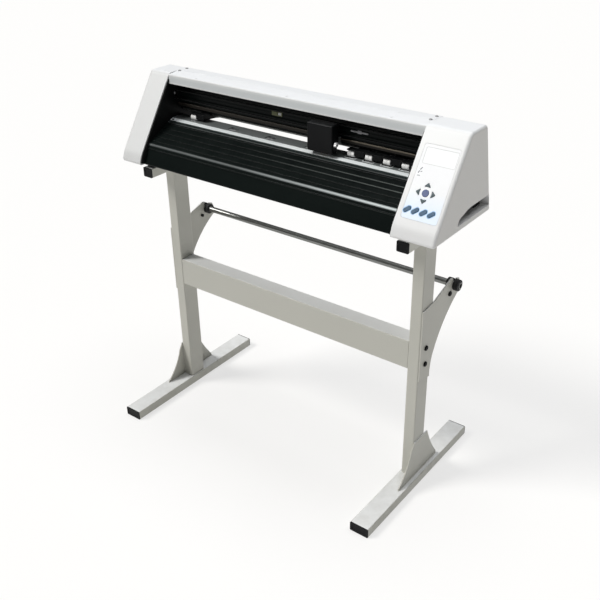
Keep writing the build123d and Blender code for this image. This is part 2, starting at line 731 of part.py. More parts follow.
def carriage_beam():
    centre = ((BEAM_FRONT_Y + BEAM_REAR_Y) / 2, sum(BEAM_Z) / 2)
    size = (BEAM_REAR_Y - BEAM_FRONT_Y, BEAM_Z[1] - BEAM_Z[0])
    section = Pos(*centre) * (RectangleRounded(*size, 1.5) - RectangleRounded(size[0] - 6, size[1] - 6, 2))
    for z in (848, 858):
        section -= Pos(BEAM_FRONT_Y, z) * Rectangle(3, 4)
    return along_x(section, LEFT_FRAME[1], RIGHT_FRAME[0])


def guide_rail():
    rail = block(LEFT_FRAME[1] + 2, RIGHT_FRAME[0] - 2, BEAM_FRONT_Y - RAIL_THICK, BEAM_FRONT_Y, *RAIL_Z)
    return chamfer(rail.edges().filter_by(Axis.X).group_by(Axis.Y)[0], 0.8)


def carriage_belt():
    ends = ((DRIVE_PULLEY_X, CARRIAGE_PULLEY_Z, CARRIAGE_PULLEY_RADIUS),
            (IDLER_X, CARRIAGE_PULLEY_Z, CARRIAGE_PULLEY_RADIUS))
    section = belt_loop(*ends, FREE + BELT_THICK) - belt_loop(*ends, FREE)
    return along_y(section, BELT_Y[0] + FREE, BELT_Y[1] - FREE)


def pulley_y(x, bore):
    z = CARRIAGE_PULLEY_Z
    pulley = rod_y(x, BELT_Y[0] - 1, BELT_Y[1] + 1, z, CARRIAGE_PULLEY_RADIUS)
    for y in (BELT_Y[0] - 1, BELT_Y[1]):
        pulley += rod_y(x, y, y + 1, z, CARRIAGE_PULLEY_RADIUS + 2.5)
    if bore:
        pulley -= rod_y(x, BELT_Y[0] - 3, BELT_Y[1] + 3, z, bore)
    return pulley


def carriage_pulley():
    return pulley_y(DRIVE_PULLEY_X, 0) + rod_y(DRIVE_PULLEY_X, BELT_Y[1], CARRIAGE_MOTOR_Y - FREE,
                                               CARRIAGE_PULLEY_Z, 2.5)


def idler_pulley():
    return pulley_y(IDLER_X, 2.5 + RUNNING)


def carriage_motor():
    centre = Pos(DRIVE_PULLEY_X, CARRIAGE_PULLEY_Z)
    section = centre * RectangleRounded(MOTOR_SIZE, MOTOR_SIZE, 4)
    core = centre * RectangleRounded(MOTOR_SIZE - 3, MOTOR_SIZE - 3, 4)
    body = along_y(section, CARRIAGE_MOTOR_Y, CARRIAGE_MOTOR_Y + MOTOR_LENGTH)
    return body - along_y(section - core, CARRIAGE_MOTOR_Y + 9, CARRIAGE_MOTOR_Y + MOTOR_LENGTH - 9)


def carriage_block():
    """Slider on the rail, back plate of the head, and the clamp on the belt's lower run."""
    x0, x1 = CARRIAGE_X - 30, CARRIAGE_X + 30
    gap = FREE
    rail_front = BEAM_FRONT_Y - RAIL_THICK
    low, high = RAIL_Z[0] - RAIL_LIP, RAIL_Z[1] + RAIL_LIP
    slider = block(x0, x1, 31, rail_front - gap, low, high)
    slider += block(x0, x1, rail_front - 1, BEAM_FRONT_Y - 0.5, RAIL_Z[1] + gap, high)
    slider += block(x0, x1, rail_front - 1, BEAM_FRONT_Y - 0.5, low, RAIL_Z[0] - gap)
    plate = block(x0, x1, 27, 31, 828, 867)
    clamp = block(CARRIAGE_X - 10, CARRIAGE_X + 10, 31, BELT_Y[1], 847, 851)
    drop = block(x0 + 6, x1 - 6, 20, 23.5, 808, 850)
    return slider + plate + clamp + drop + block(x0 + 6, x1 - 6, 20, 31, 850, 856)


def carriage_cover():
    """Moulded hood of the cutting head, deeper above the pinch rollers than beside them."""
    x0, x1 = CARRIAGE_X - CARRIAGE_HALF, CARRIAGE_X + CARRIAGE_HALF
    low, high = CARRIAGE_Z
    back = 31 - FREE
    profile = [(CARRIAGE_FRONT, low), (CARRIAGE_FRONT, high), (back, high), (back, 826),
               (24.5, 826), (24.5, low)]
    outer = along_x(rounded_polygon(profile, [1.5, 5, 2, 1.5, 1, 1]), x0, x1)
    side_edges = outer.edges().filter_by(Axis.Z).group_by(Axis.Y)[0]
    outer = fillet(side_edges, 3.5)
    inner = [(CARRIAGE_FRONT + 2, low - 1), (CARRIAGE_FRONT + 2, high - 2), (35, high - 2), (35, 828),
             (26, 828), (26, low - 1)]
    cover = outer - along_x(polygon(inner), x0 + 2, x1 - 2)
    return cover - block(x1 - 4, x1 + 1, TOOL_Y - 2.6, TOOL_Y + 2.6, KNOB_Z - TOOL_DROP - 2.6, KNOB_Z + 2.6)


def lift_solenoid():
    """Coil and frame that lift the tool, beside it inside the head."""
    x0 = CARRIAGE_X - 30
    yoke = block(x0, x0 + 15, 6, 18.5, 836, 862) - block(x0 + 2, x0 + 13, 5, 20, 838, 860)
    coil = rod_z(x0 + 7.5, 12.2, 838, 860, 5.5)
    return group([yoke, coil])


def tool_arm():
    """Lifting arm that grips the blade holder."""
    x = CARRIAGE_X
    arm = block(x - 13, x + 13, TOOL_Y - 6.5, TOOL_Y + 7, 822, 834)
    arm += block(x - 9, x + 9, TOOL_Y + 1, TOOL_Y + 7, 834, 858)
    arm -= rod_z(x, TOOL_Y, 834, 860, 6.2)
    return arm - rod_z(x, TOOL_Y, 800, 840, 4.5)


def blade_holder():
    x = CARRIAGE_X
    body = rod_z(x, TOOL_Y, 808, 846, 4.5) + rod_z(x, TOOL_Y, 834.5, 838, 6)
    nose = Pos(x, TOOL_Y, 806) * Cone(1.8, 4.5, 4)
    blade = Pos(x, TOOL_Y, 802) * Cone(0.3, 0.9, 4)
    return body + nose + blade


def clamp_knob():
    """Thumb screw that clamps the blade holder, reached through the head's right side."""
    y, z = TOOL_Y, KNOB_Z
    x0 = CARRIAGE_X + 13.3
    stem = rod_x(x0, CARRIAGE_X + CARRIAGE_HALF + 2, y, z, 2)
    head = rod_x(CARRIAGE_X + CARRIAGE_HALF + 1, CARRIAGE_X + CARRIAGE_HALF + 8, y, z, 5)
    return stem + fillet(head.edges().filter_by(GeomType.CIRCLE), 0.8)


# ---- electrics and controls ------------------------------------------------------------

def port_block(y, z, width, height, x0, x1):
    return block(x0, x1, y - width / 2, y + width / 2, z - height / 2, z + height / 2)


def sockets():
    """Mains inlet, serial and square data sockets, set in the floor of the connector bay."""
    y, z, w, h = INLET
    inlet = port_block(y, z, w, h, RECESS_FLOOR - 6, RECESS_FLOOR + 3)
    inlet -= port_block(y, z, w - 5, h - 5, RECESS_FLOOR - 4, RECESS_FLOOR + 4)
    for dy in (-6, 0, 6):
        inlet += port_block(y + dy, z + (2 if dy == 0 else -1), 1.6, 4, RECESS_FLOOR - 4.5, RECESS_FLOOR + 1)
    y, z, w, h = SERIAL
    serial = port_block(y, z, w, h, RECESS_FLOOR - 6, RECESS_FLOOR + 2)
    shell = rounded_polygon([(y - 9, z + 4), (y + 9, z + 4), (y + 7.5, z - 4), (y - 7.5, z - 4)], [2] * 4)
    serial += along_x(shell, RECESS_FLOOR, RECESS_FLOOR + 7)
    for dy in (-12.5, 12.5):
        serial += rod_x(RECESS_FLOOR, RECESS_FLOOR + 5, y + dy, z, 2)
    y, z, w, h = USB
    usb = port_block(y, z, w, h, RECESS_FLOOR - 6, RECESS_FLOOR + 4)
    usb -= port_block(y, z, w - 3, h - 3, RECESS_FLOOR - 3, RECESS_FLOOR + 5)
    return group([inlet, serial, usb])


def switch_housing():
    y, z, w, h = SWITCH
    frame = port_block(y, z, w, h, RECESS_FLOOR - 6, RECESS_FLOOR + 3)
    frame -= port_block(y, z, w - 3, h - 3, RECESS_FLOOR - 5, RECESS_FLOOR + 4)
    return frame - rod_y(SWITCH_X - 1, y - 6.3, y + 6.3, z, SWITCH_PIN_RADIUS + RUNNING)


def power_switch():
    y, z, w, h = SWITCH
    width = (w - 3) / 2 - FREE
    half = (h - 3) / 2 - 1.0
    profile = [(SWITCH_X - 2.5, z - half + 1), (SWITCH_X + 2.4, z - half + 0.4), (SWITCH_X + 0.6, z),
               (SWITCH_X + 2.4, z + half - 0.4), (SWITCH_X - 2.5, z + half - 1)]
    rocker = along_y(rounded_polygon(profile, [1, 0.8, 6, 0.8, 1]), y - width, y + width)
    rocker += rod_y(SWITCH_X - 1, y - 6.2, y + 6.2, z, SWITCH_PIN_RADIUS)
    pivot = Axis((SWITCH_X - 1, y, z), (0, 1, 0))
    return rocker.rotate(pivot, -SWITCH_THROW / 2)


def key_overlay():
    sheet = panel_solid(panel_outline(0), -OVERLAY_THICK, 0)
    sheet -= panel_solid(lcd_outline(0.1), -5, 5)
    return sheet - key_holes()


def lcd_window():
    return panel_solid(lcd_outline(0), -OVERLAY_THICK, -0.2)


def key(outline):
    top = KEY_PROUD
    cap = extrude(outline, KEY_DEPTH)
    rim = cap.faces().sort_by(Axis.Z)[-1].edges()
    cap = fillet(rim, 0.5)
    return on_panel(Pos(0, 0, top - KEY_DEPTH) * cap)


def circuit_boards():
    """Panel board behind the keys with the display module, and the main board on the floor."""
    panel = Pos(404, 100) * Rectangle(84, 158)
    board = panel_solid(panel, -12, -10.4)
    display = panel_solid(lcd_outline(-3.4), -10.4, -3.4)
    main = block(392, 448, -60, 60, 712, 713.6)
    for x, y, size in ((410, -35, 14), (430, 10, 10), (405, 30, 12)):
        main += block(x, x + size, y, y + size, 713.6, 716.5)
    return group([board + display, main])


def build():
    parts = {
        "foot_tubes": both_sides(foot_tube()),
        "tube_end_caps": both_sides(group([foot_end_caps(), rail_end_caps()])),
        "left_upright": mirrored(upright()),
        "right_upright": upright(),
        "cross_beam": cross_beam(),
        "gusset_plates": both_sides(gusset_plate()),
        "roll_brackets": both_sides(roll_bracket()),
        "top_rails": both_sides(top_rail()),
        "frame_bolts": both_sides(frame_bolts()),
        "rubber_feet": both_sides(rubber_feet()),
        "roll_shaft": roll_shaft(),
        "shaft_collars": both_sides(shaft_collars()),
        "left_end_cap": left_end_cap(),
        "right_end_cap": right_end_cap(),
        "left_side_frame": left_side_frame(),
        "right_side_frame": right_side_frame(),
        "top_cover": top_cover(),
        "rear_panel": rear_panel(),
        "base_tray": base_tray(),
        "front_apron": front_apron(),
        "cover_screws": cover_screws(),
        "platen": platen(),
        "cutting_strip": cutting_strip(),
        "rear_guide": rear_guide(),
        "grit_shaft": grit_shaft(),
        "grit_rollers": grit_rollers(),
        "shaft_bearings": shaft_bearings(),
        "feed_pulley": feed_pulley(),
        "feed_belt": feed_belt(),
        "stepper_motors": group([feed_motor(), carriage_motor()]),
        "feed_motor_pulley": feed_motor_pulley(),
        "carriage_beam": carriage_beam(),
        "guide_rail": guide_rail(),
        "carriage_belt": carriage_belt(),
        "lift_solenoid": lift_solenoid(),
        "carriage_pulley": carriage_pulley(),
        "idler_pulley": idler_pulley(),
        "carriage_block": carriage_block(),
        "carriage_cover": carriage_cover(),
        "tool_arm": tool_arm(),
        "blade_holder": blade_holder(),
        "clamp_knob": clamp_knob(),
        "pinch_arms": pinch_arms(),
        "pinch_wheels": pinch_wheels(),
        "pivot_bar": pivot_bar(),
        "pinch_lever": pinch_lever(),
        "key_overlay": key_overlay(),
        "lcd_window": lcd_window(),
        "sockets": group([sockets(), switch_housing()]),
        "circuit_boards": circuit_boards(),
        "power_switch": power_switch(),
    }
    for name, outline in key_outlines(0).items():
        parts[name] = key(outline)
    return parts


os.makedirs("parts", exist_ok=True)
for node, shape in build().items():
    export_step(shape, f"parts/{node}.step")
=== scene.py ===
import math

import bmesh
import bpy
from mathutils import Matrix, Vector


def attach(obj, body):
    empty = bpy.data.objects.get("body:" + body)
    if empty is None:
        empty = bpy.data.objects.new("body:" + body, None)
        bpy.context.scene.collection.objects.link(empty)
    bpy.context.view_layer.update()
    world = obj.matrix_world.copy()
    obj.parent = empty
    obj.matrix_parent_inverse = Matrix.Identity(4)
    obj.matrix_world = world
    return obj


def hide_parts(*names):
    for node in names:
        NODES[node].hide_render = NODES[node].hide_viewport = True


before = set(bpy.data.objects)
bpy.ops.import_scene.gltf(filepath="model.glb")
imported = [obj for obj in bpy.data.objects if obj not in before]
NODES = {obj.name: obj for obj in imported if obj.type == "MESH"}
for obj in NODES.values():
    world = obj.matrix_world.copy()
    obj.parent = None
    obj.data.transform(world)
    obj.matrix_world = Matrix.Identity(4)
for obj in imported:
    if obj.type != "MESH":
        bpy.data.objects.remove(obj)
bpy.context.view_layer.update()
MM = 0.001


# ---- camera, light and floor -------------------------------------------------------------

CAMERA_EYE = (1.1603, -1.4588, 1.4429)
CAMERA_AZIMUTH = 0.6574
CAMERA_ELEVATION = 0.5129
CAMERA_ROLL = -0.0172
CAMERA_LENS = 50.31
SENSOR_WIDTH = 36
CAMERA_CLIP = (0.05, 200)
FLOOR_SIZE = 120
FLOOR_COLOUR = (0.345, 0.340, 0.330)
FLOOR_GLOW = 0.575
WARM_WHITE = (1.0, 0.99, 0.97)
COOL_WHITE = (0.97, 0.98, 1.0)
# each sun: the direction it shines from, its strength, its spread in degrees and its colour
SUNS = {
    "key": ((-0.52, -0.47, 0.72), 2.40, 20, WARM_WHITE),
    "top": ((0.05, 0.12, 0.99), 2.00, 50, COOL_WHITE),
}
FILL_STRENGTH = 0.06
BACKDROP_STRENGTH = 0.97


def camera():
    data = bpy.data.cameras.new("camera")
    data.lens = CAMERA_LENS
    data.sensor_width = SENSOR_WIDTH
    data.clip_start, data.clip_end = CAMERA_CLIP
    az, el = CAMERA_AZIMUTH, CAMERA_ELEVATION
    back = Vector((math.sin(az) * math.cos(el), -math.cos(az) * math.cos(el), math.sin(el)))
    right = (-back).cross(Vector((0, 0, 1))).normalized()
    up = back.cross(right)
    c, s = math.cos(CAMERA_ROLL), math.sin(CAMERA_ROLL)
    right, up = c * right + s * up, c * up - s * right
    spin = Matrix((right, up, back)).transposed().to_4x4()
    obj = bpy.data.objects.new("camera", data)
    obj.matrix_world = Matrix.Translation(CAMERA_EYE) @ spin
    bpy.context.scene.collection.objects.link(obj)
    bpy.context.scene.camera = obj


def soft_sun(name, towards, strength, spread, colour):
    data = bpy.data.lights.new(name, "SUN")
    data.energy = strength
    data.angle = math.radians(spread)
    data.color = colour
    obj = bpy.data.objects.new(name, data)
    obj.rotation_mode = "QUATERNION"
    obj.rotation_quaternion = Vector(towards).to_track_quat("Z", "Y")
    bpy.context.scene.collection.objects.link(obj)


def studio():
    """Two soft suns and a faint fill, in front of a white backdrop that only the camera sees."""
    for name, sun in SUNS.items():
        soft_sun(name, *sun)
    world = bpy.data.worlds.new("studio")
    world.use_nodes = True
    tree = world.node_tree
    fill = tree.nodes["Background"]
    fill.inputs["Color"].default_value = (*COOL_WHITE, 1)
    fill.inputs["Strength"].default_value = FILL_STRENGTH
    backdrop = tree.nodes.new("ShaderNodeBackground")
    backdrop.inputs["Color"].default_value = (1, 1, 1, 1)
    backdrop.inputs["Strength"].default_value = BACKDROP_STRENGTH
    seen = tree.nodes.new("ShaderNodeLightPath").outputs["Is Camera Ray"]
    blend = tree.nodes.new("ShaderNodeMixShader")
    tree.links.new(seen, blend.inputs["Fac"])
    tree.links.new(fill.outputs[0], blend.inputs[1])
    tree.links.new(backdrop.outputs[0], blend.inputs[2])
    tree.links.new(blend.outputs[0], tree.nodes["World Output"].inputs["Surface"])
    bpy.context.scene.world = world
    bpy.context.scene.view_settings.view_transform = "Standard"


def floor():
    half = FLOOR_SIZE / 2
    mesh = bpy.data.meshes.new("floor")
    corners = [(-half, -half, 0), (half, -half, 0), (half, half, 0), (-half, half, 0)]
    mesh.from_pydata(corners, [], [(0, 1, 2, 3)])
    obj = bpy.data.objects.new("floor", mesh)
    bpy.context.scene.collection.objects.link(obj)
    finish = Finish("floor", FLOOR_COLOUR, rough=0.9, specular=0.1)
    mesh.materials.append(finish.glow(FLOOR_GLOW).done())


# ---- materials ---------------------------------------------------------------------------

BEVEL_SAMPLES = 4
# two limits each: where a mask starts and where it is full
CLOUD_LEVELS = (0.35, 0.65)
GRAIN_LEVELS = (0.25, 0.75)
WEAR_LEVELS = (0.42, 0.62)
EDGE_BEND = (0.98, 0.75)
DUST_TILT = (0.3, 1.0)
PAINTED_LIGHT_TILT = (0.80, 0.99)
SCRATCH_EDGE = 0.05
DUST_ROUGH = 0.8
GRIME_ROUGH = 0.75


class Finish:
    """A procedural surface: tone, grain, edge wear and dust are added one by one, in metres."""

    def __init__(self, name, colour, rough=0.5, metallic=0.0, specular=0.5):
        self.material = bpy.data.materials.new(name)
        self.material.use_nodes = True
        self.material.diffuse_color = (*colour, 1)
        self.tree = self.material.node_tree
        self.tree.nodes.clear()
        output = self.node("ShaderNodeOutputMaterial")
        self.shader = self.node("ShaderNodeBsdfPrincipled")
        self.shader.inputs["Metallic"].default_value = metallic
        self.shader.inputs["Specular IOR Level"].default_value = specular
        self.join(self.shader.outputs[0], output.inputs[0])
        self.place = self.node("ShaderNodeTexCoord").outputs["Object"]
        self.colour = (*colour, 1)
        self.rough = rough
        self.normal = None

    def node(self, kind, **settings):
        node = self.tree.nodes.new(kind)
        for key, value in settings.items():
            setattr(node, key, value)
        return node

    def join(self, source, target):
        self.tree.links.new(source, target)

    def put(self, value, target):
        """A socket is linked; a plain number or colour is set."""
        if isinstance(value, bpy.types.NodeSocket):
            self.join(value, target)
        else:
            target.default_value = value

    def stretched(self, stretch):
        if stretch == (1, 1, 1):
            return self.place
        scale = self.node("ShaderNodeMapping")
        scale.inputs["Scale"].default_value = stretch
        self.join(self.place, scale.inputs["Vector"])
        return scale.outputs[0]

    def noise(self, scale, detail, stretch):
        tex = self.node("ShaderNodeTexNoise")
        tex.inputs["Scale"].default_value = scale
        tex.inputs["Detail"].default_value = detail
        self.join(self.stretched(stretch), tex.inputs["Vector"])
        return tex.outputs["Fac"]

    def clouds(self, scale, detail=3, stretch=(1, 1, 1), levels=CLOUD_LEVELS):
        """Noise spread over 0 to 1 between two of its own levels."""
        return self.levels(self.noise(scale, detail, stretch), *levels)

    def levels(self, value, low, high, to_low=0.0, to_high=1.0):
        """The value spread from low and high to the other two, and held within them."""
        ramp = self.node("ShaderNodeMapRange", clamp=True)
        self.put(value, ramp.inputs["Value"])
        numbers = {"From Min": low, "From Max": high, "To Min": to_low, "To Max": to_high}
        for key, number in numbers.items():
            ramp.inputs[key].default_value = number
        return ramp.outputs["Result"]

    def maths(self, operation, a, b):
        node = self.node("ShaderNodeMath", operation=operation)
        self.put(a, node.inputs[0])
        self.put(b, node.inputs[1])
        return node.outputs[0]

    def times(self, value, *others):
        for other in others:
            value = self.maths("MULTIPLY", value, other)
        return value

    def mix(self, mask, a, b):
        node = self.node("ShaderNodeMix", data_type="RGBA")
        self.put(mask, node.inputs[0])
        self.put(a, node.inputs[6])
        self.put(b, node.inputs[7])
        return node.outputs[2]

    def paint(self, mask, colour, rough=None):
        """Lay another colour, and perhaps roughness, over the surface where the mask is."""
        self.colour = self.mix(mask, self.colour, (*colour, 1))
        if rough is not None:
            node = self.node("ShaderNodeMix", data_type="FLOAT")
            self.put(mask, node.inputs[0])
            self.put(self.rough, node.inputs[2])
            self.put(rough, node.inputs[3])
            self.rough = node.outputs[0]
        return self

    def relief(self, height, distance):
        """Bump, on top of what bump or round there is already."""
        bump = self.node("ShaderNodeBump")
        bump.inputs["Distance"].default_value = distance
        bump.inputs["Strength"].default_value = 1.0
        self.join(height, bump.inputs["Height"])
        if self.normal:
            self.join(self.normal, bump.inputs["Normal"])
        self.normal = bump.outputs[0]
        return self

    def tone(self, scale, colour, amount=1.0, stretch=(1, 1, 1)):
        """Another tone in broad clouds."""
        return self.paint(self.times(self.clouds(scale, 4, stretch), amount), colour)

    def grain(self, scale, distance, rough_change=0.08, stretch=(1, 1, 1)):
        """Fine relief, with roughness that follows it where nothing else has changed it."""
        fine = self.clouds(scale, stretch=stretch, levels=GRAIN_LEVELS)
        self.relief(fine, distance)
        base = self.rough
        if not isinstance(base, bpy.types.NodeSocket):
            self.rough = self.levels(fine, 0, 1, base - rough_change, base + rough_change)
        return self

    def edges(self, radius):
        """Mask of worn convex and concave edges within a radius."""
        dot = self.node("ShaderNodeVectorMath", operation="DOT_PRODUCT")
        self.join(self.rounded(radius), dot.inputs[0])
        self.join(self.face_normal(), dot.inputs[1])
        return self.levels(dot.outputs["Value"], *EDGE_BEND)

    def rounded(self, radius):
        bevel = self.node("ShaderNodeBevel", samples=BEVEL_SAMPLES)
        bevel.inputs["Radius"].default_value = radius
        return bevel.outputs[0]

    def soften(self, radius):
        """Shade hard edges as if they had a small round."""
        self.normal = self.rounded(radius)
        return self

    def face_normal(self):
        return self.node("ShaderNodeNewGeometry").outputs["Normal"]

    def part_of(self, vector, axis):
        axes = self.node("ShaderNodeSeparateXYZ")
        self.join(vector, axes.inputs[0])
        return axes.outputs[axis]

    def axis(self, name):
        """The place along one axis, in metres."""
        return self.part_of(self.place, name)

    def near_line(self, y, z, reach, soft):
        """Mask of what lies near a line that runs along X."""
        squares = []
        for value, centre in ((self.axis("Y"), y), (self.axis("Z"), z)):
            away = self.maths("SUBTRACT", value, centre)
            squares.append(self.maths("MULTIPLY", away, away))
        distance = self.maths("POWER", self.maths("ADD", *squares), 0.5)
        return self.levels(distance, reach + soft, reach)

    def wear(self, colour, radius=0.0012, rough=0.45, scale=180, amount=0.8):
        """Another colour and roughness in patches along the edges."""
        patchy = self.clouds(scale, 5, levels=WEAR_LEVELS)
        return self.paint(self.times(self.edges(radius), patchy, amount), colour, rough)

    def dust(self, colour, amount=0.3, scale=30):
        """Fine dust that lies on faces that look up."""
        up = self.levels(self.part_of(self.face_normal(), "Z"), *DUST_TILT)
        return self.paint(self.times(up, self.clouds(scale, 5), amount), colour, DUST_ROUGH)

    def painted_light_facing(self, axis, colour, amount):
        """Painted light or shade: another tone on the faces that look along an axis."""
        towards = self.levels(self.part_of(self.face_normal(), axis), *PAINTED_LIGHT_TILT)
        return self.paint(self.times(towards, amount), colour)

    def fade_down(self, z_from, z_to, colour):
        """Another colour towards the bottom, from one height to the other."""
        return self.paint(self.levels(self.axis("Z"), z_from, z_to), colour)

    def grime(self, z_clean, z_dirty, colour, amount=0.4, scale=40):
        """A stain that grows between two heights."""
        low = self.levels(self.axis("Z"), z_clean, z_dirty)
        return self.paint(self.times(low, self.clouds(scale, 5), amount), colour, GRIME_ROUGH)

    def scratches(self, stretch, colour, amount=0.4, scale=60, threshold=0.62, distance=0.0):
        """Thin lines drawn out along the axis that the stretch shortens, cut in by a distance."""
        lines = self.levels(self.noise(scale, 6, stretch), threshold, threshold + SCRATCH_EDGE)
        self.paint(self.times(lines, amount), colour)
        if distance:
            self.relief(lines, -distance)
        return self

    def glow(self, strength):
        self.shader.inputs["Emission Color"].default_value = (1, 1, 1, 1)
        self.shader.inputs["Emission Strength"].default_value = strength
        return self

    def sheen(self, weight):
        self.shader.inputs["Sheen Weight"].default_value = weight
        return self

    def done(self):
        self.put(self.colour, self.shader.inputs["Base Color"])
        self.put(self.rough, self.shader.inputs["Roughness"])
        if self.normal:
            self.join(self.normal, self.shader.inputs["Normal"])
        return self.material


LONG_GRAIN = (0.03, 1, 1)
KNURL_TURNS = (0.6, -0.6)
KNURL_SCALE = 260
KNURL_DEPTH = 0.0003


def knurled():
    """Grit roller: crossed ridges cut into bright steel."""
    finish = Finish("knurled_steel", (0.44, 0.45, 0.46), rough=0.42, metallic=1.0)
    crossed = None
    for turn in KNURL_TURNS:
        aim = finish.node("ShaderNodeMapping")
        aim.inputs["Rotation"].default_value = (turn, turn, turn)
        finish.join(finish.place, aim.inputs["Vector"])
        wave = finish.node("ShaderNodeTexWave", wave_type="BANDS")
        wave.inputs["Scale"].default_value = KNURL_SCALE
        finish.join(aim.outputs[0], wave.inputs["Vector"])
        value = wave.outputs["Fac"]
        crossed = value if crossed is None else finish.times(crossed, value)
    finish.relief(crossed, KNURL_DEPTH)
    return finish.tone(300, (0.30, 0.30, 0.31), 0.6).grain(2200, 0.00004, 0.1).done()


TRACK_SCALE = 160
TRACK_WIDTH = 0.03


def board():
    """Green circuit board with copper tracks under the resist."""
    finish = Finish("board_green", (0.02, 0.10, 0.04), rough=0.35)
    brick = finish.node("ShaderNodeTexBrick")
    brick.inputs["Scale"].default_value = TRACK_SCALE
    brick.inputs["Mortar Size"].default_value = TRACK_WIDTH
    finish.join(finish.place, brick.inputs["Vector"])
    finish.paint(brick.outputs["Fac"], (0.05, 0.20, 0.07))
    return finish.relief(brick.outputs["Fac"], 0.00004).grain(900, 0.00002).done()


# the rail's painted highlight: its line as Y and Z, its size, and the span along X over which it
# grows to full strength
RAIL_EDGE = (0.0430, 0.8325)
RAIL_EDGE_SIZE = (0.0010, 0.0012)
RAIL_HIGHLIGHT_X = (0.02, 0.26)


def rail_steel():
    """Ground rail dulled by a brown film of dried oil, with a painted highlight along its upper
    edge.
    """
    finish = Finish("rail_steel", (0.020, 0.017, 0.014), rough=0.42, metallic=0.3, specular=0.2)
    finish.tone(20, (0.012, 0.011, 0.009), 0.8, (0.3, 1, 1))
    # painted highlight along the upper edge, stronger towards larger X
    along = finish.levels(finish.axis("X"), *RAIL_HIGHLIGHT_X, 0.12, 1.0)
    edge = finish.times(finish.near_line(*RAIL_EDGE, *RAIL_EDGE_SIZE), along)
    finish.paint(edge, (0.150, 0.130, 0.100), 0.3)
    return finish.grain(1200, 0.00002, 0.08, LONG_GRAIN).done()


STRIP_DARK_Y = (0.0094, 0.0076)
SCRATCH_DEPTH = 0.0001


def worn_strip():
    """Cutting strip: bright where the blade runs, dark in front, scratched along and across."""
    finish = Finish("strip_worn", (0.80, 0.835, 0.835), rough=0.30)
    finish.tone(18, (0.66, 0.70, 0.70), 0.9, (0.3, 1, 1))
    finish.scratches((0.02, 1, 1), (0.42, 0.45, 0.45), 0.5, 260, 0.62, SCRATCH_DEPTH)
    finish.scratches((1, 0.05, 1), (0.46, 0.48, 0.48), 0.4, 90, 0.68, SCRATCH_DEPTH)
    finish.paint(finish.levels(finish.axis("Y"), *STRIP_DARK_Y), (0.012, 0.018, 0.017))
    return finish.grain(1400, 0.00004, 0.08).done()


def casing(name, shade):
    """Fine-textured white moulding, a little yellowed and scuffed; its faces that look up get
    painted light, and shade scales its colour for lighter or darker copies.
    """
    finish = Finish(name, (0.622 * shade, 0.628 * shade, 0.624 * shade), rough=0.40, specular=0.4)
    finish.soften(0.0007).tone(5, (0.600 * shade, 0.604 * shade, 0.598 * shade), 0.8)
    finish.painted_light_facing("Z", (0.82, 0.835, 0.85), 0.9).dust((0.66, 0.66, 0.64), 0.12, 22)
    return finish.wear((0.56, 0.56, 0.54), 0.0012, 0.55, 60, 0.35)


CASING_GRAIN = (1500, 0.00007, 0.06)
# heights between which the right cap's painted shade grows towards the bottom
RIGHT_CAP_SHADE_Z = (0.860, 0.730)
# the shaded strip of the cover: its upper and lower limits, and how far back it reaches
FASCIA_UPPER_Z = (0.9080, 0.8990)
FASCIA_LOWER_Z = (0.8865, 0.8915)
FASCIA_BACK_Y = (0.0270, 0.0245)


def right_cap():
    """The right end: a lighter copy of the casing as painted light on its front, with painted shade
    towards the bottom and on its outer wall.
    """
    finish = casing("right_cap", 1.22)
    finish.fade_down(*RIGHT_CAP_SHADE_Z, (0.684, 0.686, 0.684))
    return finish.painted_light_facing("X", (0.605, 0.597, 0.572), 0.9).grain(*CASING_GRAIN).done()


def cover_sheet():
    """The cover: casing white, with a shaded fascia under its crease."""
    finish = casing("cover_sheet", 1.02)
    under = finish.levels(finish.axis("Z"), *FASCIA_UPPER_Z)
    above = finish.levels(finish.axis("Z"), *FASCIA_LOWER_Z)
    front = finish.levels(finish.axis("Y"), *FASCIA_BACK_Y)
    finish.paint(finish.times(under, above, front, 0.9), (0.490, 0.515, 0.520))
    return finish.grain(*CASING_GRAIN).done()


# lines of painted highlight along the front extrusion, as Y and Z; then how far a line's painted
# highlight reaches and its soft edge
RIDGE = (-0.0715, 0.7530)
RIDGE_SIZE = (0.0014, 0.0030)
RIBS = ((-0.0182, 0.7815), (-0.0322, 0.7742), (-0.0752, 0.7415))
RIB_SIZE = (0.0011, 0.0009)
APRON_LIT_X = (-0.10, 0.34)


def black_apron():
    """Black anodised extrusion, with painted highlights along its ridge and ribs, strongest by the
    panel.
    """
    finish = Finish("black_extrusion", (0.0022, 0.0038, 0.0035), rough=0.30, specular=0.07)
    finish.tone(9, (0.0042, 0.0068, 0.0062), 0.8, (0.15, 1, 1)).dust((0.05, 0.06, 0.055), 0.05, 40)
    finish.wear((0.05, 0.065, 0.06), 0.0006, 0.3, 200, 0.5)
    along = finish.levels(finish.axis("X"), *APRON_LIT_X)
    streaks = finish.levels(finish.clouds(60, 4, (0.05, 1, 1)), 0, 1, 0.72, 1.0)
    # painted highlights on the ribs and along the ridge, stronger towards the panel
    for rib in RIBS:
        mask = finish.times(finish.near_line(*rib, *RIB_SIZE), along, streaks)
        finish.paint(mask, (0.115, 0.130, 0.122))
    nearer = finish.levels(along, 0, 1, 0.15, 1.0)
    mask = finish.times(finish.near_line(*RIDGE, *RIDGE_SIZE), nearer, streaks)
    finish.paint(mask, (0.62, 0.67, 0.67), 0.34)
    return finish.grain(1300, 0.00003, 0.05, LONG_GRAIN).done()


def key_cap(name, colour, tone, worn):
    """Rubber key, paler at its rubbed edges."""
    finish = Finish(name, colour, rough=0.36, specular=0.35).tone(130, tone, 0.9)
    return finish.wear(worn, 0.0007, 0.5, 260, 0.6).grain(2400, 0.00006, 0.08).done()


def ink(name, colour, tone, rough, scale):
    """Printing on the overlay."""
    finish = Finish(name, colour, rough=rough).tone(scale, tone, 0.8)
    return finish.grain(2400, 0.00002, 0.05).done()


OVERLAY_FADE_Z = (0.800, 0.768)
FLOOR_DIRT = (0.26, 0.24, 0.20)
FLOOR_DIRT_Z = (0.09, 0.0)


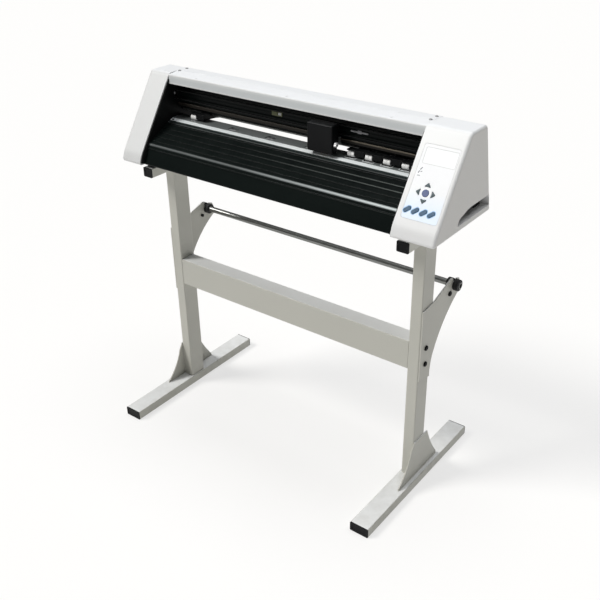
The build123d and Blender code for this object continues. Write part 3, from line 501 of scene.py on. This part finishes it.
def materials():
    """A finish for each slot of the record, and for the pieces that differ from their slot."""
    return {
        # stand_paint: its faces that look up are painted lighter, as painted light from above
        "stand_paint": Finish("stand_paint", (0.480, 0.475, 0.425), rough=0.42).soften(0.0006)
        .tone(3, (0.455, 0.452, 0.405), 0.8).painted_light_facing("Z", (0.76, 0.77, 0.77), 0.85)
        .dust((0.60, 0.59, 0.56), 0.2, 18).grime(*FLOOR_DIRT_Z, FLOOR_DIRT, 0.20)
        .wear((0.38, 0.37, 0.33), 0.0016, 0.55, 90, 0.55)
        .grain(520, 0.00012, 0.07).done(),
        "white_casing": casing("white_casing", 1.0).grain(*CASING_GRAIN).done(),
        "cover_sheet": cover_sheet(),
        "right_cap": right_cap(),
        "grey_sheet": Finish("grey_sheet", (0.36, 0.37, 0.36), rough=0.5)
        .tone(6, (0.31, 0.32, 0.31), 0.7).dust((0.5, 0.48, 0.44), 0.4)
        .wear((0.50, 0.50, 0.49), 0.001, 0.4, 120, 0.6).grain(700, 0.0001, 0.08).done(),
        "black_moulding":
        Finish("black_moulding", (0.003, 0.0032, 0.0038), rough=0.34, specular=0.1)
        .soften(0.0006).tone(14, (0.0048, 0.0056, 0.0060), 0.8).dust((0.05, 0.05, 0.05), 0.10, 60)
        .wear((0.055, 0.058, 0.062), 0.0012, 0.30, 120, 0.8).grain(1700, 0.00009, 0.09).done(),
        "black_rubber": Finish("black_rubber", (0.010, 0.010, 0.011), rough=0.65, specular=0.25)
        .tone(60, (0.020, 0.020, 0.020), 0.8).wear((0.05, 0.05, 0.05), 0.001, 0.8, 200)
        .grain(900, 0.00015, 0.1).sheen(0.1).done(),
        "blackened_steel":
        Finish("blackened_steel", (0.004, 0.0045, 0.0045), rough=0.42, specular=0.08)
        .tone(25, (0.010, 0.011, 0.011), 0.8).wear((0.12, 0.12, 0.12), 0.0005, 0.3, 250, 0.5)
        .grain(1300, 0.00005, 0.1).done(),
        "screw_zinc": Finish("screw_zinc", (0.42, 0.42, 0.42), rough=0.42, metallic=0.2)
        .tone(200, (0.33, 0.33, 0.33), 0.8).wear((0.34, 0.34, 0.34), 0.0004, 0.3, 400, 0.6)
        .grain(1500, 0.00004, 0.1).done(),
        "plated_steel": Finish("plated_steel", (0.30, 0.305, 0.295), rough=0.34, metallic=0.9)
        .tone(30, (0.24, 0.24, 0.23), 0.7).grain(900, 0.00001, 0.06, LONG_GRAIN).done(),
        "rail_steel": rail_steel(),
        "black_extrusion": black_apron(),
        "bare_extrusion": Finish("bare_extrusion", (0.21, 0.225, 0.225), rough=0.42, metallic=0.25)
        .tone(12, (0.15, 0.165, 0.165), 0.9, (0.2, 1, 1)).grain(1100, 0.00005, 0.08, LONG_GRAIN)
        .scratches((0.06, 1, 1), (0.36, 0.38, 0.38), 0.4, 300).done(),
        "strip_polymer": Finish("strip_polymer", (0.80, 0.835, 0.835), rough=0.30)
        .tone(18, (0.70, 0.74, 0.74), 0.8, (0.3, 1, 1)).grain(1400, 0.00004, 0.08).done(),
        "strip_worn": worn_strip(),
        "knurled_steel": knurled(),
        "bearing_steel": Finish("bearing_steel", (0.45, 0.45, 0.46), rough=0.25, metallic=1.0)
        .tone(90, (0.34, 0.34, 0.35), 0.6).grain(1800, 0.00003, 0.08).done(),
        "belt_rubber": Finish("belt_rubber", (0.008, 0.008, 0.009), rough=0.62, specular=0.25)
        .tone(70, (0.018, 0.018, 0.018), 0.8, (0.3, 1, 1)).grain(1500, 0.0001, 0.1).done(),
        "motor_black": Finish("motor_black", (0.020, 0.020, 0.022), rough=0.38, metallic=0.3)
        .tone(30, (0.035, 0.035, 0.037), 0.7).wear((0.3, 0.3, 0.3), 0.0006, 0.3, 200)
        .grain(1200, 0.00006, 0.1).done(),
        "brass_tool": Finish("brass_tool", (0.72, 0.52, 0.22), rough=0.28, metallic=1.0)
        .tone(80, (0.60, 0.42, 0.17), 0.8).grain(2000, 0.00004, 0.08, (1, 1, 6)).done(),
        "knob_metal": Finish("knob_metal", (0.72, 0.72, 0.72), rough=0.30, metallic=0.6)
        .tone(120, (0.58, 0.58, 0.58), 0.7).grain(2200, 0.00004, 0.08).done(),
        "pinch_white": Finish("pinch_white", (0.88, 0.89, 0.88), rough=0.48, specular=0.4)
        .tone(90, (0.78, 0.78, 0.76), 0.8).wear((0.45, 0.44, 0.42), 0.0008, 0.6, 300)
        .grain(1600, 0.0001, 0.1, (0.2, 1, 1)).done(),
        "overlay_film": Finish("overlay_film", (0.775, 0.785, 0.795), rough=0.38, specular=0.4)
        .tone(26, (0.757, 0.767, 0.777), 0.9).fade_down(*OVERLAY_FADE_Z, (0.69, 0.77, 0.87))
        .wear((0.58, 0.60, 0.62), 0.0008, 0.5, 150, 0.4).grain(2600, 0.00004, 0.07).done(),
        "display_window": Finish("display_window", (0.800, 0.820, 0.825), rough=0.36, specular=0.35)
        .tone(40, (0.775, 0.800, 0.800), 0.8).grain(300, 0.00002, 0.04).done(),
        "socket_grey": Finish("socket_grey", (0.012, 0.013, 0.014), rough=0.45, specular=0.3)
        .tone(60, (0.024, 0.025, 0.026), 0.7).wear((0.14, 0.14, 0.14), 0.0006, 0.4, 250)
        .grain(1500, 0.00006, 0.1).done(),
        "board_green": board(),
        "switch_black": Finish("switch_black", (0.010, 0.010, 0.011), rough=0.25)
        .tone(90, (0.020, 0.020, 0.021), 0.7).wear((0.09, 0.09, 0.09), 0.0006, 0.4, 300)
        .grain(1500, 0.00005, 0.08).done(),
        "key_blue": key_cap("key_blue", (0.020, 0.068, 0.135), (0.026, 0.086, 0.165),
                            (0.07, 0.14, 0.20)),
        "key_slate": key_cap("key_slate", (0.022, 0.050, 0.060), (0.030, 0.062, 0.074),
                             (0.08, 0.12, 0.14)),
        "key_violet": key_cap("key_violet", (0.050, 0.075, 0.190), (0.065, 0.092, 0.215),
                              (0.14, 0.17, 0.32)),
        "print_line": ink("print_line", (0.57, 0.57, 0.57), (0.63, 0.63, 0.63), 0.45, 300),
        "print_halo": ink("print_halo", (0.34, 0.56, 0.82), (0.40, 0.61, 0.84), 0.40, 200),
        "print_white": ink("print_white", (0.84, 0.86, 0.87), (0.81, 0.83, 0.84), 0.40, 200),
        "print_dark": ink("print_dark", (0.12, 0.14, 0.16), (0.17, 0.19, 0.21), 0.45, 300),
        "weld_bead": Finish("weld_bead", (0.500, 0.495, 0.445), rough=0.45)
        .tone(40, (0.46, 0.455, 0.41), 0.8).grain(420, 0.0002, 0.08).done(),
        "sensor_board": Finish("sensor_board", (0.060, 0.070, 0.012), rough=0.4)
        .tone(200, (0.085, 0.090, 0.02), 0.8).grain(900, 0.00005, 0.1).done(),
        "clip_grey": Finish("clip_grey", (0.30, 0.30, 0.31), rough=0.45)
        .tone(150, (0.22, 0.22, 0.23), 0.8).grain(1200, 0.00005, 0.1).done(),
    }


# CAD nodes whose finish differs from that of their slot
OWN_FINISH = {
    "right_end_cap": "right_cap",
    "cutting_strip": "strip_worn",
    "top_cover": "cover_sheet",
    "cover_screws": "screw_zinc",
    "key_up": "key_slate",
    "key_down": "key_slate",
    "key_left": "key_slate",
    "key_right": "key_slate",
}


def dress_frame(made):
    """Put each slot's finish, or the node's own, on the CAD nodes."""
    for name, obj in NODES.items():
        for place in obj.material_slots:
            place.material = made[OWN_FINISH.get(name, place.material.name.split(".")[0])]


# ---- mesh tools --------------------------------------------------------------------------

BEVEL_ANGLE = math.radians(40)
BEVEL_SEGMENTS = 2
NEARLY_UPRIGHT = 0.1


def band_faces(near, far, count):
    """Faces between two rings of as many vertices, which start at near and at far."""
    steps = [(i, (i + 1) % count) for i in range(count)]
    return [(near + i, near + step, far + step, far + i) for i, step in steps]


class Piece:
    """Vertices in millimetres and faces, gathered into one object."""

    def __init__(self):
        self.verts = []
        self.faces = []

    def add(self, verts, faces):
        start = len(self.verts)
        self.verts += [tuple(v) for v in verts]
        self.faces += [tuple(start + i for i in face) for face in faces]

    def prism(self, outline, low, high, place):
        """A closed outline (a, b) raised from low to high, put in space by place(a, b, h)."""
        count = len(outline)
        verts = [place(a, b, low) for a, b in outline] + [place(a, b, high) for a, b in outline]
        faces = [tuple(reversed(range(count))), tuple(range(count, 2 * count))]
        self.add(verts, faces + band_faces(0, count, count))

    def stack(self, rings):
        """Rings of as many points each, joined side to side, with both ends closed."""
        count = len(rings[0])
        top = (len(rings) - 1) * count
        faces = [tuple(reversed(range(count)))]
        for near in range(0, top, count):
            faces += band_faces(near, near + count, count)
        faces.append(tuple(range(top, top + count)))
        self.add([v for ring in rings for v in ring], faces)

    def hoop(self, inner, outer, low, high, place):
        """A band between two outlines of as many points, with all four of its sides."""
        count = len(inner)
        rings = [[place(a, b, h) for a, b in loop]
                 for loop, h in ((inner, low), (inner, high), (outer, high), (outer, low))]
        faces = []
        for ring in range(len(rings)):
            faces += band_faces(ring * count, (ring + 1) % len(rings) * count, count)
        self.add([v for ring in rings for v in ring], faces)

    def tube(self, path, radii, sides):
        """A closed-ended tube along a path, with a radius at each point."""
        points = [Vector(p) for p in path]
        rings = []
        for i, (point, radius) in enumerate(zip(points, radii)):
            ahead = (points[min(i + 1, len(points) - 1)] - points[max(i - 1, 0)]).normalized()
            side = ahead.cross(Vector((0, 0, 1)))
            if side.length < NEARLY_UPRIGHT:
                side = ahead.cross(Vector((0, 1, 0)))
            side.normalize()
            over = side.cross(ahead)
            ring = []
            for k in range(sides):
                turn = 2 * math.pi * k / sides
                ring.append(point + side * radius * math.cos(turn) + over * radius * math.sin(turn))
            rings.append(ring)
        self.stack(rings)

    def build(self, name, material, slot, body, bevel=0.0, sharp=35, node=()):
        """Make the object: sharp is in degrees, and node names the CAD nodes it replaces."""
        mesh = bpy.data.meshes.new(name)
        mesh.from_pydata([Vector(v) * MM for v in self.verts], [], self.faces)
        mesh.update()
        obj = bpy.data.objects.new(name, mesh)
        bpy.context.scene.collection.objects.link(obj)
        mesh.materials.append(material)
        tidy_normals(obj)
        mesh.polygons.foreach_set("use_smooth", [True] * len(mesh.polygons))
        mesh.set_sharp_from_angle(angle=math.radians(sharp))
        if bevel:
            mod = obj.modifiers.new("bevel", "BEVEL")
            mod.width = bevel * MM
            mod.segments = BEVEL_SEGMENTS
            mod.limit_method = "ANGLE"
            mod.angle_limit = BEVEL_ANGLE
            mod.harden_normals = True
        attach(obj, body)
        if node:
            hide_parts(*node)


def tidy_normals(obj):
    """Turn every face outwards."""
    mesh = bmesh.new()
    mesh.from_mesh(obj.data)
    bmesh.ops.recalc_face_normals(mesh, faces=mesh.faces)
    mesh.to_mesh(obj.data)
    mesh.free()


def circle(x, y, radius, count=32):
    turns = [2 * math.pi * i / count for i in range(count)]
    return [(x + radius * math.cos(t), y + radius * math.sin(t)) for t in turns]


def rounded_box(x0, x1, y0, y1, radius, per_corner=6):
    corners = [(x1 - radius, y1 - radius, 0), (x0 + radius, y1 - radius, 90),
               (x0 + radius, y0 + radius, 180), (x1 - radius, y0 + radius, 270)]
    points = []
    for x, y, start in corners:
        for i in range(per_corner + 1):
            t = math.radians(start + 90 * i / per_corner)
            points.append((x + radius * math.cos(t), y + radius * math.sin(t)))
    return points


# ---- control panel -----------------------------------------------------------------------

# from here on sizes are in millimetres; s runs up the slanted face or the cutting strip
SLANT_FOOT = (-98, 729)
SLANT_UP = (0.5588, 0.8293)
PANEL_X = (362, 446)
PANEL_S = (22, 182)
LCD_X = (370, 442)
LCD_S = (141, 174)
PAD = (399.3, 81)
FUNCTION_S = 41.5
FUNCTION_X = (371.6, 390.1, 408.9, 427.1)
FUNCTION_KEY = (18, 8.5)
SLOT_STEPS = 8
KEY_TILT = math.radians(40)
HALO_GROW = (0.5, 1.9)
PAD_RING = (8.2, 11.2)
# how far printing reaches into and out of the overlay
LINE_LAYER = (-0.05, 0.06)
PRINT_LAYER = (-0.05, 0.07)
# marks beside the pad: x, s, half length, half width, tilt
PRINT_MARKS = ((372.5, 128.5, 3.6, 1.0, 1.0), (369.2, 121.0, 3.0, 0.9, 1.2),
               (374.6, 122.5, 2.0, 0.8, 0.3), (370.8, 113.6, 3.2, 0.7, 0.1))


def on_panel(x, s, h):
    """Point of the slanted face: along it, up the slope, and out of it."""
    y = SLANT_FOOT[0] + s * SLANT_UP[0] - h * SLANT_UP[1]
    z = SLANT_FOOT[1] + s * SLANT_UP[1] + h * SLANT_UP[0]
    return (x, y, z)


def slot_outline(x, s, half_length, half_width, tilt=0.0):
    """A round-ended slot about (x, s), turned by its tilt."""
    points = []
    for sign, start in ((1, -90), (-1, 90)):
        for i in range(SLOT_STEPS + 1):
            t = math.radians(start + 180 * i / SLOT_STEPS)
            along = sign * (half_length - half_width) + half_width * math.cos(t)
            across = half_width * math.sin(t)
            points.append((x + along * math.cos(tilt) - across * math.sin(tilt),
                           s + along * math.sin(tilt) + across * math.cos(tilt)))
    return points


def grown_box(x, s, grow, corner):
    """The outline of a box, each side moved out by grow."""
    return rounded_box(x[0] - grow, x[1] + grow, s[0] - grow, s[1] + grow, corner)


def outline_ring(piece, x, s, grow, width, corner):
    """A printed line round a box, its outer edge grown beyond the box."""
    outer = grown_box(x, s, grow, corner + grow)
    inner = grown_box(x, s, grow - width, max(corner + grow - width, 0.4))
    piece.hoop(inner, outer, *LINE_LAYER, on_panel)


def panel_print(made):
    """Printed lines, halos and marks on the key overlay."""
    lines = Piece()
    outline_ring(lines, LCD_X, LCD_S, grow=1.4, width=1.1, corner=2)
    outline_ring(lines, PANEL_X, PANEL_S, grow=-0.3, width=0.7, corner=6)
    lines.build("overlay_print_lines", made["print_line"], "overlay_film", "frame")

    length, width = FUNCTION_KEY
    halos = Piece()
    for x in FUNCTION_X:
        edges = [slot_outline(x, FUNCTION_S, length / 2 + grow, width / 2 + grow, KEY_TILT)
                 for grow in HALO_GROW]
        halos.hoop(*edges, *PRINT_LAYER, on_panel)
    halos.build("overlay_print_halos", made["print_halo"], "overlay_film", "frame")

    ring = Piece()
    ring.hoop(*[circle(*PAD, radius) for radius in PAD_RING], *PRINT_LAYER, on_panel)
    ring.build("overlay_print_ring", made["print_white"], "overlay_film", "frame")

    marks = Piece()
    for mark in PRINT_MARKS:
        marks.prism(slot_outline(*mark), *PRINT_LAYER, on_panel)
    marks.build("overlay_print_marks", made["print_dark"], "overlay_film", "frame")


# ---- bay ---------------------------------------------------------------------------------

STRIP_FRONT = (2.6, 792.7)
STRIP_TILT = math.radians(20)
STRIP_EYES_X = (-376, 339)
STRIP_EYES_S = 10.4
# half length and half width of an eyelet's hole and rim, and of the dark slot in it
EYE_HOLE = (4.4, 2.2)
EYE_RIM = (6.6, 4.4)
EYE_SLOT = (4.5, 2.3)
PLATEN_Z = 798.5
GRIT_Y = 36.3
WORKING_GRIT_X = (161, 208, 255, 302)
WINDOW_HALF = (13, 9.5)
WINDOW_CORNER = 1.0
WINDOW_RIM = 2
# small pieces start this far inside what they sit on, and stand out from it by their height
SUNK = -0.1
EYE_HEIGHT = 0.7
EYE_SLOT_HEIGHT = 0.12
RIM_HEIGHT = 0.28
BEAM_FACE_Y = 47
# blocks on the beam's face: x from and to, z from and to, corner radius, then depth from and to
SENSOR_BOARD = (-76, -45, 851, 863.5, 0.8, SUNK, 1.2)
SENSOR_PLUG = (-72, -58, 853, 861, 0.5, 1.1, 2.9)
SENSOR_PINS = [(x - 0.5, x + 0.5, 854, 860, 0.2, 1.1, 1.8) for x in (-55.5, -53.0, -50.5, -48.0)]
CLIP_BAR = (150, 196, 852.8, 856.2, 0.8, SUNK, 2.4)
CLIP_PAD = (168, 178, 850.6, 858.4, 0.8, SUNK, 1.4)


def on_strip(x, s, h):
    """Point of the cutting strip: along it, up its tilt, and out of it."""
    y = STRIP_FRONT[0] + s * math.cos(STRIP_TILT) - h * math.sin(STRIP_TILT)
    z = STRIP_FRONT[1] + s * math.sin(STRIP_TILT) + h * math.cos(STRIP_TILT)
    return (x, y, z)


def on_platen(x, y, h):
    return (x, y, PLATEN_Z + h)


def off_beam(x, z, h):
    """Point in front of the beam's front face."""
    return (x, BEAM_FACE_Y - h, z)


def strip_ends(made):
    """An eyelet with its dark slot at each end of the cutting strip."""
    eyes, slots = Piece(), Piece()
    for eye in [(x, STRIP_EYES_S) for x in STRIP_EYES_X]:
        eyes.hoop(slot_outline(*eye, *EYE_HOLE), slot_outline(*eye, *EYE_RIM),
                  SUNK, EYE_HEIGHT, on_strip)
        slots.prism(slot_outline(*eye, *EYE_SLOT), SUNK, EYE_SLOT_HEIGHT, on_strip)
    eyes.build("strip_eyelets", made["strip_polymer"], "strip_polymer", "frame", bevel=0.2)
    slots.build("strip_slots", made["black_moulding"], "black_moulding", "frame")


def window_rims(made):
    """Pressed rim round the window of each grit roller that has a wheel above it."""
    rims = Piece()
    half_x, half_y = WINDOW_HALF
    for x in WORKING_GRIT_X:
        window = (x - half_x, x + half_x), (GRIT_Y - half_y, GRIT_Y + half_y)
        edges = [grown_box(*window, grow, WINDOW_CORNER + grow) for grow in (0, WINDOW_RIM)]
        rims.hoop(*edges, SUNK, RIM_HEIGHT, on_platen)
    rims.build("grit_window_rims", made["strip_polymer"], "strip_polymer", "frame", bevel=0.08)


def beam_blocks(*blocks):
    """A piece made of blocks that stand on the beam's front face."""
    piece = Piece()
    for *box, low, high in blocks:
        piece.prism(rounded_box(*box), low, high, off_beam)
    return piece


def beam_fittings(made):
    """Home sensor board with its connector, and the cable clip beyond the carriage."""
    beam_blocks(SENSOR_BOARD, SENSOR_PLUG).build(
        "home_sensor_board", made["sensor_board"], "board_green", "frame", bevel=0.15)
    beam_blocks(*SENSOR_PINS).build(
        "home_sensor_pins", made["bearing_steel"], "bearing_steel", "frame")
    beam_blocks(CLIP_BAR, CLIP_PAD).build(
        "beam_cable_clip", made["clip_grey"], "bare_extrusion", "frame", bevel=0.3)


PER_TOOTH = 4
# each end of the belt: across, up, pulley radius
BELT_ENDS = ((376, 855, 9.55), (-402, 855, 9.55))
BELT_SIDES = (36.3, 41.7)
# the belt's back, the land between its teeth and their crests, outwards from the pulleys
BELT_BACK = 1.65
BELT_LAND = 1.0
BELT_CREST = 0.38
TOOTH_PITCH = 2.0


def on_crest(i):
    """Whether a point of a toothed outline is on a crest: the first half of each tooth's points."""
    return i % PER_TOOTH < PER_TOOTH / 2


def belt_stations(first, second, step):
    """Points and outward directions about a step apart, once round two pulleys."""
    (a1, b1, r1), (a2, b2, r2) = first, second
    reach = math.hypot(a2 - a1, b2 - b1)
    aim = math.atan2(b2 - b1, a2 - a1)
    wrap = math.acos((r1 - r2) / reach)
    run = math.sqrt(reach ** 2 - (r1 - r2) ** 2)
    stations = []
    for a, b, r, start, sweep in ((a2, b2, r2, aim - wrap, 2 * wrap),
                                  (a1, b1, r1, aim + wrap, 2 * (math.pi - wrap))):
        count = PER_TOOTH * round(r * sweep / step / PER_TOOTH)
        for i in range(count):
            turn = start + sweep * i / count
            out = (math.cos(turn), math.sin(turn))
            stations.append((a + r * out[0], b + r * out[1], *out))
        end = start + sweep
        out = (math.cos(end), math.sin(end))
        count = PER_TOOTH * round(run / step / PER_TOOTH)
        for i in range(count):
            along = run * i / count
            stations.append((a + r * out[0] - along * out[1],
                             b + r * out[1] + along * out[0], *out))
    return stations


def toothed_belt(made):
    """The carriage belt, with its teeth on the inside."""
    stations = belt_stations(*BELT_ENDS, TOOTH_PITCH / PER_TOOTH)
    inner, outer = [], []
    for i, (a, b, out_a, out_b) in enumerate(stations):
        lift = BELT_CREST if on_crest(i) else BELT_LAND
        inner.append((a + out_a * lift, b + out_b * lift))
        outer.append((a + out_a * BELT_BACK, b + out_b * BELT_BACK))
    belt = Piece()
    belt.hoop(inner, outer, *BELT_SIDES, lambda a, b, h: (a, h, b))
    belt.build("carriage_toothed_belt", made["belt_rubber"], "belt_rubber", "frame", sharp=25,
               node=("carriage_belt",))


KNOB_AXIS = (12, 828)
KNOB_X = (131, 136)
KNURLS = 26
GRIP_BORE = 4.7
GRIP_CREST = 5.45
GRIP_GROOVE = 5.12


def knob_grip(made):
    """Ridged grip round the clamp knob."""
    count = PER_TOOTH * KNURLS
    inner = circle(0, 0, GRIP_BORE, count)
    outer = []
    for i in range(count):
        turn = 2 * math.pi * i / count
        radius = GRIP_CREST if on_crest(i) else GRIP_GROOVE
        outer.append((radius * math.cos(turn), radius * math.sin(turn)))
    grip = Piece()
    grip.hoop(inner, outer, *KNOB_X, lambda a, b, h: (h, KNOB_AXIS[0] + a, KNOB_AXIS[1] + b))
    grip.build("clamp_knob_grip", made["knob_metal"], "knob_metal", "clamp_knob", sharp=25)


# ---- back and stand ----------------------------------------------------------------------

BACK_FOOT = (145, 704)
BACK_LEAN = 50 / 207
BACK_INSET = 3
BACK_SCREWS_X = (-370, -190, -10, 170, 312)
BACK_SCREWS_Z = (797, 891)
BACK_SCREW = (3.4, 1.7)  # radius and height
SCREW_SIDES = 24
# rings from the rim to the socket's floor: share of the radius, share of the height, in the socket
SCREW_RINGS = ((1.0, -0.2, False), (1.0, 0.3, False), (0.86, 0.75, False),
               (0.66, 1.0, False), (0.42, 1.0, True), (0.42, 0.35, True))


def socket_ring(radius, turn):
    """Radius of a hexagon of this half width across its flats, at a turn."""
    third = math.pi / 3
    return radius / math.cos(turn % third - third / 2)


def button_screw(piece, place, radius, height):
    """Low domed head with a hexagon socket; place(a, b, h) has its axis along h."""
    rings = []
    for share, rise, socket in SCREW_RINGS:
        ring = []
        for i in range(SCREW_SIDES):
            turn = 2 * math.pi * i / SCREW_SIDES
            r = socket_ring(radius * share, turn) if socket else radius * share
            ring.append(place(r * math.cos(turn), r * math.sin(turn), rise * height))
        rings.append(ring)
    piece.stack(rings)


def on_back(x, z):
    """A place(a, b, h) on the leaning rear panel."""
    length = math.hypot(1, BACK_LEAN)
    y = BACK_FOOT[0] - (z - BACK_FOOT[1]) * BACK_LEAN - BACK_INSET

    def place(a, b, h):
        return (x - a, y + (h - b * BACK_LEAN) / length, z + (b + h * BACK_LEAN) / length)
    return place


def back_screws(made):
    screws = Piece()
    for x in BACK_SCREWS_X:
        for z in BACK_SCREWS_Z:
            button_screw(screws, on_back(x, z), *BACK_SCREW)
    screws.build("rear_panel_screws", made["screw_zinc"], "blackened_steel", "frame")


RECESS_FLOOR = 435
PLATE_DEPTH = (-0.2, 0.7)
PLATE_OUTLINE = ((0, 721.5), (129, 721.5), (126, 744), (42, 744), (18, 741), (4, 735))


def connector_plate(made):
    """Dark plate behind the sockets, in the bay low on the right end."""
    plate = Piece()
    plate.prism(PLATE_OUTLINE, *PLATE_DEPTH, lambda a, b, h: (RECESS_FLOOR + h, a, b))
    plate.build("connector_plate", made["socket_grey"], "socket_grey", "frame", bevel=0.2)


FOOT_TOP = 25
RAIL_UNDER = 672
POST_X = (361, 391)
POST_Y = (-18, 32)
GUSSET_FACE = 394
GUSSET_Y = (-84, 98)
GUSSET_TOP = 128
BEAD = 1.7
BEAD_STEP = 1.3
BEAD_LEAST_STEPS = 6
BEAD_SIDES = 10
# how far a bead stops short of each end: across the post, up its side, along its inner side
BEAD_SHORT = (2, 4, 3)


def bead(piece, start, end):
    """A weld bead: a run of small overlapping swells, thinner towards both ends."""
    start, end = Vector(start), Vector(end)
    count = max(BEAD_LEAST_STEPS, round((end - start).length / BEAD_STEP))
    path, radii = [], []
    for i in range(count + 1):
        path.append(start.lerp(end, i / count))
        swell = 0.86 + 0.14 * math.cos(math.pi * i)
        taper = min(1.0, 0.45 + 0.25 * min(i, count - i))
        waver = 1 + 0.06 * math.sin(1.7 * i)
        radii.append(BEAD * swell * taper * waver)
    piece.tube(path, radii, BEAD_SIDES)


def weld_beads(made):
    """Beads where post, foot, gusset and rail meet, on both legs."""
    welds = Piece()
    across, up, along = BEAD_SHORT
    for side in (-1, 1):
        inner, outer = side * POST_X[0], side * POST_X[1]
        face = side * GUSSET_FACE
        for y in POST_Y:
            for z in (FOOT_TOP, RAIL_UNDER):
                bead(welds, (inner + side * across, y, z), (outer - side * across, y, z))
            bead(welds, (outer, y, FOOT_TOP + up), (outer, y, GUSSET_TOP - up))
        bead(welds, (inner, POST_Y[0] + along, FOOT_TOP), (inner, POST_Y[1] - along, FOOT_TOP))
        bead(welds, (face, GUSSET_Y[0], FOOT_TOP), (face, GUSSET_Y[1], FOOT_TOP))
    welds.build("stand_weld_beads", made["weld_bead"], "stand_paint", "frame", sharp=60)


def main():
    made = materials()
    camera()
    studio()
    floor()
    dress_frame(made)
    for add in (panel_print, strip_ends, window_rims, beam_fittings, toothed_belt, knob_grip,
                back_screws, connector_plate, weld_beads):
        add(made)


main()
